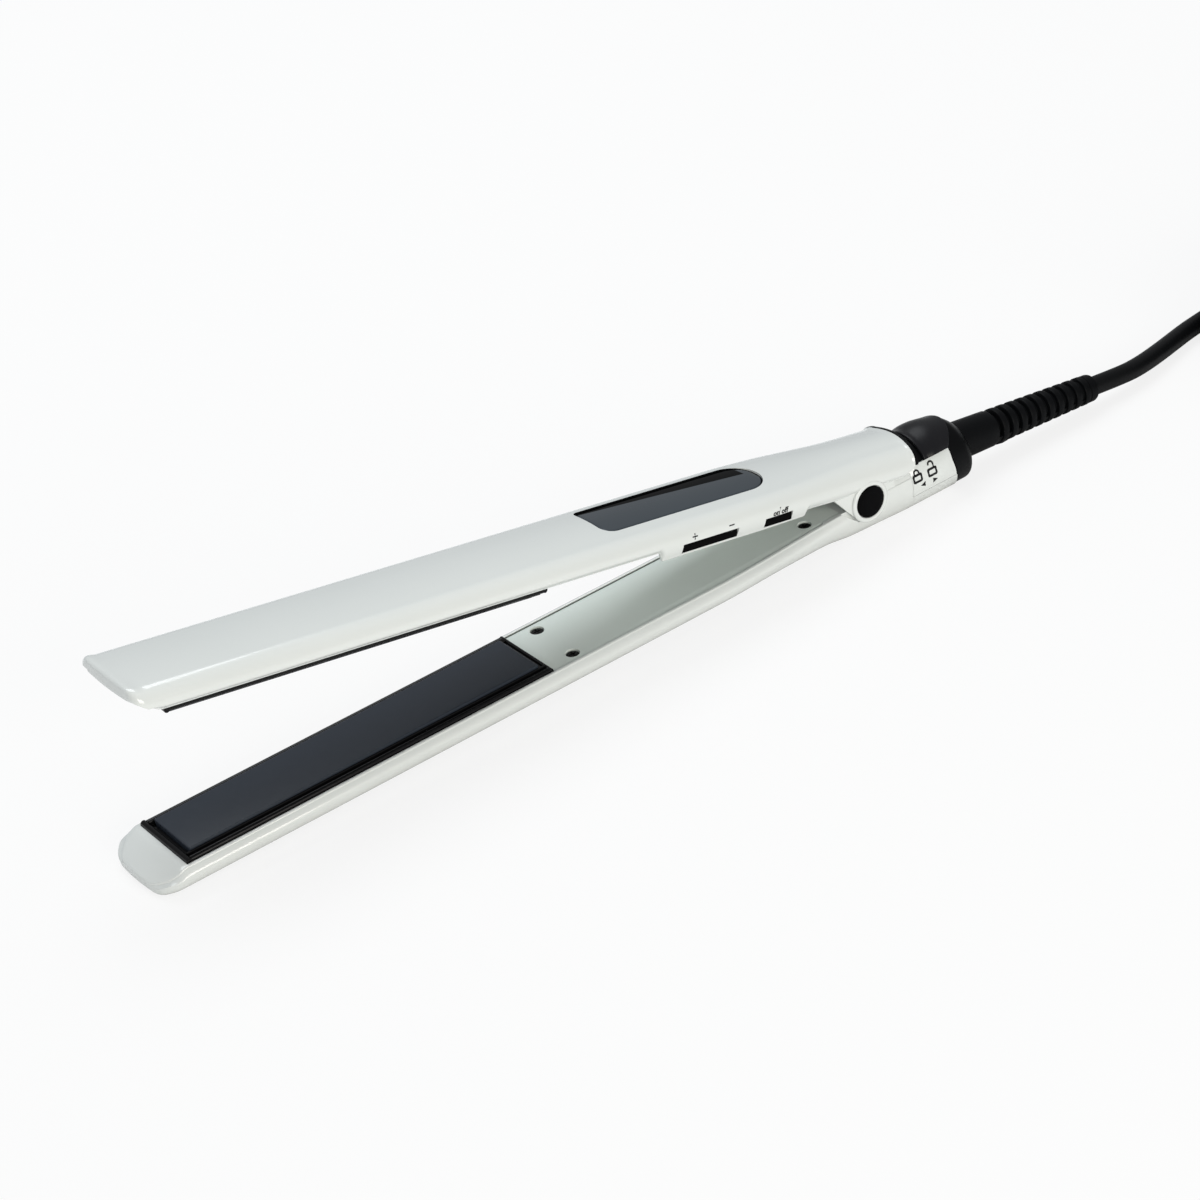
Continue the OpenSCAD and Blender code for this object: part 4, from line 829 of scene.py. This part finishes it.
# ---- Cover screws ------------------------------------------------------------
# Blackened steel screws with a domed cross-slot head, sunk in the covers' recesses.
screw_black = finish("screw_black", (0.003, 0.003, 0.003), (0.006, 0.006, 0.0055), 0.36, 0.1, 3000, 0.00001,
                     metal=0.3, specular=0.15)
for arm, side, depth, place in (("lower", -1, lower_cover_depth, lower_place),
                                ("upper", 1, upper_cover_depth, upper_place)):
    points, faces = [], []
    for x, y in screw_places:
        add_skin(points, faces, [round_ring(x, y, side * (depth + d), r, 24) for d, r in (
            (4, 1.3), (1.1, 1.3), (1.1, 2.0), (0.7, 2.0), (0.5, 1.85), (0.4, 1.3))])
    made = piece(arm + "_screws", points, faces, place, screw_black)
    cuts = [piece("slot", *loft([[(x + u, y + v, side * d) for u, v in (
        (-a, -b), (a, -b), (a, b), (-a, b))] for d in (depth + 0.75, depth)]), place, None)
        for x, y in screw_places for a, b in ((1.2, 0.25), (0.25, 1.2))]
    for cutter in cuts:
        carve(made, cutter)
    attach(smooth(made), arm + "_arm")
    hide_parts(arm + "_cover_screws")

# ---- Upper shell -------------------------------------------------------------
# The same pearl white ABS as the lower shell, with a longer skirt along the keys, a window
# for the display in its back, and an open tail that rides over the barrel.
tail_x, tail_bow = 18, 1.3
upper_rows = [(-248.1, 14.4, 4, 16, 11.8, 5, 0.5), (-82.5, 14.4, 4, 16, 12.2, 5, 0.8),
              (-81.1, 14.4, 1, 16, 12.2, 5, 0.8), (-44, 14.4, 1, 16, 12.2, 5, 0.8),
              (-27, 13.9, 1, 15.4, 12.2, 5.4, 0.8), (-25.6, 13.85, 2.8, 15.34, 12.2, 5.5, 0.8),
              (-12, 12.85, 2.1, 14.14, 12.2, 6.2, 0.8), (0, 12.2, 2.2, 13.36, 12.2, 6.8, 0.8),
              (12, 12.15, 2.4, 13.3, 12.2, 7, 0.8), (14.3, 12.15, 2.6, 13.3, 12.2, 7, 0.8),
              (16.9, 12.1, 4.5, 13.24, 12.2, 6.6, 0.8), (tail_x, 12.0, 6.4, 13.12, 12.2, 5.4, 0.8)]
upper_x = ([-248.1, -245] + [-240 + 6 * i for i in range(23)] + [-103 + 2 * i for i in range(10)]
           + [-82.9, -82.5, -82.2, -81.8, -81.4, -81.1, -80.8] + [-79 + 2 * i for i in range(26)]
           + [-27.4, -27, -26.7, -26.3, -25.9, -25.6, -25.3] + [-24 + 1.5 * i for i in range(25)]
           + [13.2, 14.0, 14.7, 15.3, 15.9, 16.4, 16.9, 17.3, 17.6, 17.8, tail_x])


def tail_end_x(p):
    """The tail's end is bowed: further back in the middle than at the sides."""
    return tail_x + tail_bow * max(0, 1 - (p[1] / 10) ** 2)


upper_shell = arm_shell("upper_arm_shell", 1, upper_rows, 11.8, 5, 4, 0.5, 1.44, 4, upper_x, upper_place,
                        pearl_white, tail_end_x)
window_front, window_rear, window_half, window_y = -96.7, -33.9, 9.0, 1.4
window_front_r, window_far_r, window_rear_r = 4.5, 1.6, 8.5


def window_width(x, inset, far=False):
    """Half the window's width at x. Its far front corner is small, the others are rounder."""
    half = window_half - inset
    front, rear = (window_far_r if far else window_front_r) - inset, half - 0.5
    a, b = x - window_front - inset, window_rear - inset - x
    if a < front:
        half -= front - math.sqrt(max(0, front ** 2 - (front - a) ** 2))
    if b < rear:
        half -= rear - math.sqrt(max(0, rear ** 2 - (rear - b) ** 2))
    return half


def window_xs(inset):
    """Places along the window, closer together where its corners turn."""
    x0, x1 = window_front + inset, window_rear - inset
    front = [x0 + window_front_r * (1 - math.cos(math.radians(a))) for a in range(0, 91, 10)]
    rear = [x1 - window_rear_r * (1 - math.cos(math.radians(a))) for a in range(0, 91, 8)]
    straight = x1 - x0 - window_front_r - window_rear_r
    middle = [x0 + window_front_r + straight * i / 14 for i in range(1, 14)]
    return sorted(front + middle + rear)


def window_loop(inset, z):
    """The window's outline at a height, drawn in by the inset."""
    near = [(x, window_y - window_width(x, inset), z) for x in window_xs(inset)]
    return near + [(x, window_y + window_width(x, inset, True), z) for x in reversed(window_xs(inset))]


carve(upper_shell, piece("hole", *loft([window_loop(0, 9.0), window_loop(0, 14)]), upper_place, None))
for x0, x1 in ((-74.6, -53.8), (-43.5, -32.8)):
    carve(upper_shell, piece("key_room", *loft(block(x0, x1, -20, -12, 2.1, 5.3)), upper_place, None))
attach(smooth(upper_shell), "upper_arm")
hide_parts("upper_shell")

# ---- Display window ----------------------------------------------------------
# A smoked acrylic lens on a ledge, almost flush with the shell, with polished edges. Its far
# side is painted solid black with almost no gloss, as a painted dark reflection, and a black
# gasket shows as a thin line all round.
smoked = finish("smoked_lens", (0.038, 0.048, 0.058), (0.043, 0.054, 0.065), 0.10, 0.03, 700, 0.000004,
                specular=0.4)
# black for the gasket and the ledge, and for the painted dark reflection on the lens's far band
black_and_painted_reflection = finish("window_black_and_painted_reflection", (0.002, 0.0022, 0.0024), (0.003, 0.0032, 0.0035), 0.10, 0.02, 700,
                    0.000004, specular=0.02)


def painted_reflection_edge(x):
    """Where the painted dark reflection, in solid black, begins across the lens."""
    return 8.54 - (x + 94.8) * 0.0935


def shell_top(x, y):
    """Depth of the upper shell's back at a spot."""
    wide, back, shoulder, crown = flowing(upper_rows, x)[2:]
    flat = wide - shoulder
    return back - crown * (y / flat) ** 2 if abs(y) < flat else back - crown


near_steps = (0, 0.015, 0.045, 0.1, 0.2, 0.33, 0.46, 0.6, 0.74, 0.87, 1)
painted_reflection_steps = (0.15, 0.4, 0.65, 0.82, 0.93, 1)
lens_inset, lens_sunk, painted_reflection_stop = 0.55, 0.35, -37.1
lens_rows = []
for x in window_xs(lens_inset):
    half, far_half = window_width(x, lens_inset), window_width(x, lens_inset, True)
    ends = min(x - window_front, window_rear - x) - lens_inset
    edge = max(-half * 0.5, min(far_half * 0.96, painted_reflection_edge(x) - window_y))
    row = []
    for y in ([-half + (edge + half) * t for t in near_steps]
              + [edge + (far_half - edge) * t for t in painted_reflection_steps]):
        share = abs(y) / max(far_half if y > 0 else half, 0.1)
        fall = 0.3 * max(0, (share - 0.94) / 0.06) ** 2 + 0.3 * max(0, 1 - ends / 0.8) ** 2
        row.append((x, window_y + y, shell_top(x, window_y + y) - lens_sunk - fall))
    lens_rows.append(row)
lens_points = [p for row in lens_rows for p in row]
n = len(near_steps) + len(painted_reflection_steps)
lens_faces = [(i * n + j, i * n + j + 1, (i + 1) * n + j + 1, (i + 1) * n + j)
              for i in range(len(lens_rows) - 1) for j in range(n - 1)]
lens = piece("display_lens", lens_points, lens_faces, upper_place, smoked, tidy=False)
lens.data.materials.append(black_and_painted_reflection)
# the lens's faces beyond the edge line and in front of the stop get the black of the painted dark reflection
for k, face in enumerate(lens.data.polygons):
    if k % (n - 1) >= len(near_steps) - 1 and face.center.x * 1000 < painted_reflection_stop:
        face.material_index = 1
gasket = piece("window_gasket", *loft([window_loop(0.02, 9.4), window_loop(0.02, 11.55),
                                       window_loop(0.12, 11.62), window_loop(0.55, 11.3),
                                       window_loop(0.6, 9.4)], ends=False), upper_place, black_and_painted_reflection)
ledge = piece("window_ledge", *loft([window_loop(0.05, 9.4), window_loop(0.05, 10.2)]), upper_place,
              black_and_painted_reflection)
for made in (lens, gasket, ledge):
    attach(smooth(made), "upper_arm")
    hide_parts("display_window")

# ---- Ears and pivot caps -----------------------------------------------------
# Each side of the upper shell has an ear, with a raised white ring round the pivot. A glossy
# black cap is pressed into the ring and covers the end of the steel pin.
def pivot_ring(side, y, r):
    """A ring round the hinge's axis, y millimetres out on one side."""
    return [(r * math.sin(2 * math.pi * i / 64), side * y, hinge_z + r * math.cos(2 * math.pi * i / 64))
            for i in range(64)]


ear_points, ear_faces = [], []
for s in (-1, 1):
    ear = [[(x, s * y, z) for x, z in ear_line(grow)]
           for y, grow in ((11.2, -0.05), (12.3, -0.05), (12.5, -0.12), (12.56, -0.3))]
    add_skin(ear_points, ear_faces, ear)
    add_skin(ear_points, ear_faces, [pivot_ring(s, y, r) for y, r in (
        (11.2, 6.8), (13.0, 6.95), (13.3, 6.85), (13.46, 6.6), (13.5, 6.3), (13.5, 5.75), (13.4, 5.5),
        (13.2, 5.4), (12.3, 5.4))], ends=False)
ears = smooth(piece("pivot_ears", ear_points, ear_faces, upper_place, pearl_white), 40)
cap_points, cap_faces = [], []
for s in (-1, 1):
    add_skin(cap_points, cap_faces, [pivot_ring(s, y, r) for y, r in (
        (12.35, 5.25), (13.35, 5.25), (13.5, 5.18), (13.6, 5.0),
        (13.68, 4.6), (13.76, 3.4), (13.8, 1.6), (13.81, 0.2))])
cap_black = finish("cap_black", (0.0015, 0.0015, 0.0018), (0.0025, 0.0025, 0.0028), 0.14, 0.03, 900, 0.000004,
                   specular=0.03)
caps = smooth(piece("pivot_caps_dome", cap_points, cap_faces, upper_place, cap_black), 40)
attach(ears, "upper_arm")
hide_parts("upper_shell")
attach(caps, "upper_arm")
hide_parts("pivot_caps")

# ---- Keys --------------------------------------------------------------------
# Two matt black keys in the skirt: a rocker that tips on a pin for the temperature, and a
# shorter push key for the power. Each stands a little proud of the shell.
key_low, key_high, key_corner = 2.3, 5.1, 0.5


def key_cap(name, x0, x1, material):
    """A key from x0 to x1, with rounded corners and eased edges on its face."""
    rings = [[(x, y, z) for x, z in round_corners(x0 + key_corner, x1 - key_corner, key_low + key_corner,
                                                  key_high - key_corner, key_corner - inset, 3)]
             for y, inset in ((-12.8, 0), (-14.9, 0), (-15.2, 0.06), (-15.32, 0.2), (-15.36, 0.45))]
    return smooth(piece(name, *loft(rings), upper_place, material), 35)


key_black = finish("key_black", (0.002, 0.002, 0.0022), (0.0032, 0.0032, 0.0035), 0.5, 0.08, 3800, 0.00003,
                   specular=0.02)
rocker = key_cap("temperature_rocker", -74.4, -54.0, key_black)
power = key_cap("power_key_cap", -43.3, -33.0, key_black)
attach(rocker, "temp_key")
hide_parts("temp_rocker")
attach(power, "power_key")
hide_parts("power_button")

# ---- Key labels --------------------------------------------------------------
# Pad-printed black signs above the keys: plus and minus over the ends of the rocker,
# and the words on/off over the power key.
def side_y(x, d):
    """Half width of the upper shell's side at a depth."""
    rim, edge, wide, back, shoulder, crown = flowing(upper_rows, x)
    turn = back - crown - shoulder
    t = min(1, max(0, (d - edge - 0.45) / (turn - edge - 0.45)))
    if d <= turn:
        return rim + (wide - rim) * (1 - (1 - t) ** 1.8)
    return wide - shoulder + math.sqrt(max(0, shoulder ** 2 - (d - turn) ** 2))


def on_skirt(x, d):
    """A spot of print on the near side of the upper shell."""
    return (x, -side_y(x, d) - ink, d)


mark_points, mark_faces = [], []
print_line([(-71.4, 7.0), (-69.6, 7.0)], 0.42, on_skirt)
print_line([(-70.5, 6.1), (-70.5, 7.9)], 0.42, on_skirt)
print_line([(-57.6, 7.0), (-55.8, 7.0)], 0.42, on_skirt)
print_line([(-38.6, 5.3), (-37.9, 7.7)], 0.42, on_skirt)
signs = piece("key_signs", mark_points, mark_faces, upper_place, print_black, tidy=False)
words = bpy.data.curves.new("words", "FONT")
words.body, words.size, words.align_x = "on off", 2.7, "CENTER"
words.resolution_u = 3
words.offset = 0.1
words_holder = bpy.data.objects.new("words", words)
bpy.context.scene.collection.objects.link(words_holder)
bpy.context.view_layer.update()
drawn_words = words_holder.evaluated_get(bpy.context.evaluated_depsgraph_get())
flat_words = bpy.data.meshes.new_from_object(drawn_words)
bpy.data.objects.remove(words_holder, do_unlink=True)
words_x, words_low, words_long = -37.9, 5.55, 6.0
across = [v.co.x for v in flat_words.vertices]
scale = words_long / (max(across) - min(across))
word_points = [on_skirt(words_x + scale * v.co.x, words_low + scale * v.co.y) for v in flat_words.vertices]
power_words = piece("power_words", word_points, [tuple(f.vertices) for f in flat_words.polygons], upper_place,
                    print_black, tidy=False)
for made in (signs, power_words):
    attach(made, "upper_arm")

# ---- Tail trim ---------------------------------------------------------------
# Black trim glued into the open end of the tail. Its edge shows as a dark line.
trim_rows = [(-0.12, 18.03), (0.1, 18.1), (0.16, 18.4), (0.1, 19.2), (-0.1, 19.35), (-1.3, 19.35),
             (-1.4, 18.03)]
trim_rings = []
rim, edge, wide, back, shoulder, crown = flowing(upper_rows, tail_x)
for grow, x in trim_rows:
    shape = half_shape(rim + grow, edge, wide + grow, back + grow, shoulder + grow, crown, 0.3)
    trim_rings.append([(x + tail_end_x((0, y)) - tail_x, y, d)
                       for y, d in shape + [(-y, d) for y, d in reversed(shape[:-1])]])
trim_points = [p for ring in trim_rings for p in ring]
n, m = len(trim_rings), len(trim_rings[0])
trim_faces = [(i * m + j, i * m + j + 1, (i + 1) % n * m + j + 1, (i + 1) % n * m + j)
              for i in range(n) for j in range(m - 1)]
trim_faces += [tuple(i * m for i in range(n)), tuple(i * m + m - 1 for i in reversed(range(n)))]
trim = smooth(piece("tail_edge", trim_points, trim_faces, upper_place, hard_black), 40)
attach(trim, "upper_arm")
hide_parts("tail_trim")

# ---- Inner parts -------------------------------------------------------------
# What the shells hide: alumina heaters in steel clips, silicone pads, thermistors, the board
# with its display and switches, the pins, the spring, the detent and the swivel's contacts.
steel = finish("spring_steel", (0.55, 0.56, 0.58), (0.62, 0.63, 0.65), 0.28, 0.08, 2600, 0.000005, metal=1.0,
               stretch=(1, 1, 0.3))
brass = finish("contact_brass", (0.62, 0.44, 0.16), (0.70, 0.52, 0.22), 0.30, 0.08, 2600, 0.000005, metal=1.0)
inner_finishes = {
    "ceramic": finish("alumina", (0.72, 0.70, 0.64), (0.78, 0.76, 0.71), 0.6, 0.1, 1800, 0.00002),
    "silicone": finish("silicone", (0.42, 0.11, 0.05), (0.50, 0.14, 0.07), 0.55, 0.08, 1500, 0.00003),
    "display_grey": finish("display_glass", (0.20, 0.24, 0.17), (0.24, 0.28, 0.20), 0.2, 0.05, 600, 0.000004),
    "board_green": finish("board_lacquer", (0.012, 0.085, 0.03), (0.02, 0.12, 0.045), 0.35, 0.1, 700, 0.00003,
                          patch=260),
    "switch_dark": finish("switch_resin", (0.03, 0.03, 0.033), (0.045, 0.045, 0.05), 0.5, 0.1, 2500, 0.00002),
    "black_matte": hard_black, "steel": steel, "brass": brass,
}
for node, kind in (("lower_heater", "ceramic"), ("upper_heater", "ceramic"),
                   ("lower_heater_clip", "steel"), ("upper_heater_clip", "steel"),
                   ("lower_plate_pads", "silicone"), ("upper_plate_pads", "silicone"),
                   ("lower_thermistor", "switch_dark"), ("upper_thermistor", "switch_dark"),
                   ("display_module", "display_grey"), ("circuit_board", "board_green"),
                   ("board_switches", "switch_dark"), ("rocker_pin", "steel"),
                   ("hinge_pin", "steel"), ("hinge_block", "black_matte"),
                   ("hinge_spring", "steel"), ("lock_detent", "steel"),
                   ("contact_carrier", "ceramic"), ("contact_brushes", "brass"),
                   ("swivel_spool", "black_matte"), ("slip_rings", "brass")):
    slots = bpy.data.objects[node].data.materials
    slots.clear()
    slots.append(inner_finishes[kind])

# ---- Floor -------------------------------------------------------------------
# A plain pale tabletop, wide enough for every view, that keeps the object's soft shadow.
floor_half, floor_z = 4000, -0.05
floor = piece("floor", [(floor_half * u, floor_half * v, floor_z)
                        for u, v in ((-1, -1), (1, -1), (1, 1), (-1, 1))],
              [(0, 1, 2, 3)], Matrix.Identity(4), None, tidy=False)
paper = bpy.data.materials.new("paper")
paper.use_nodes = True
nodes, links = paper.node_tree.nodes, paper.node_tree.links
nodes["Principled BSDF"].inputs["Base Color"].default_value = (0.86, 0.86, 0.86, 1)
nodes["Principled BSDF"].inputs["Roughness"].default_value = 0.8
nodes["Principled BSDF"].inputs["Specular IOR Level"].default_value = 0.1
rays = nodes.new("ShaderNodeLightPath")
seen = nodes.new("ShaderNodeMath")
seen.operation = "MAXIMUM"
links.new(rays.outputs["Is Camera Ray"], seen.inputs[0])
links.new(rays.outputs["Is Transmission Ray"], seen.inputs[1])
share = nodes.new("ShaderNodeMath")
share.operation = "MULTIPLY"
share.inputs[1].default_value = 0.82
links.new(seen.outputs[0], share.inputs[0])
glow = nodes.new("ShaderNodeEmission")
glow.inputs["Color"].default_value = (1, 1, 1, 1)
mixed = nodes.new("ShaderNodeMixShader")
links.new(share.outputs[0], mixed.inputs["Fac"])
links.new(nodes["Principled BSDF"].outputs[0], mixed.inputs[1])
links.new(glow.outputs[0], mixed.inputs[2])
links.new(mixed.outputs[0], nodes["Material Output"].inputs["Surface"])
floor.data.materials.append(paper)

# ---- Lamps -------------------------------------------------------------------
# Plain studio light: a pale room, a wide cool softbox overhead and behind, and a slightly
# warm one low at the near side.
world = bpy.data.worlds.new("studio")
bpy.context.scene.world = world
world.use_nodes = True
nodes, links = world.node_tree.nodes, world.node_tree.links
room = nodes["Background"]
room.inputs["Color"].default_value = (0.955, 0.97, 0.985, 1)
room.inputs["Strength"].default_value = 0.38
white = nodes.new("ShaderNodeBackground")
white.inputs["Color"].default_value = (1, 1, 1, 1)
white.inputs["Strength"].default_value = 1.0
rays = nodes.new("ShaderNodeLightPath")
mixed = nodes.new("ShaderNodeMixShader")
links.new(rays.outputs["Is Camera Ray"], mixed.inputs["Fac"])
links.new(room.outputs[0], mixed.inputs[1])
links.new(white.outputs[0], mixed.inputs[2])
links.new(mixed.outputs[0], nodes["World Output"].inputs["Surface"])


def softbox(name, at, aim, width, height, watts, colour):
    """A rectangular lamp at one spot that faces another."""
    lamp = bpy.data.lights.new(name, "AREA")
    lamp.shape, lamp.size, lamp.size_y = "RECTANGLE", width, height
    lamp.energy, lamp.color = watts, colour
    holder = bpy.data.objects.new(name, lamp)
    bpy.context.scene.collection.objects.link(holder)
    facing = (Vector(aim) - Vector(at)).to_track_quat("-Z", "Y").to_matrix().to_4x4()
    holder.matrix_world = Matrix.Translation(at) @ facing


softbox("top_box", (0.0, 0.7, 1.5), (-0.08, 0, 0), 1.6, 1.0, 17, (0.93, 0.97, 1.0))
softbox("near_box", (-0.25, -1.4, 0.5), (-0.1, 0, 0.02), 1.2, 0.6, 13, (1.0, 0.965, 0.89))
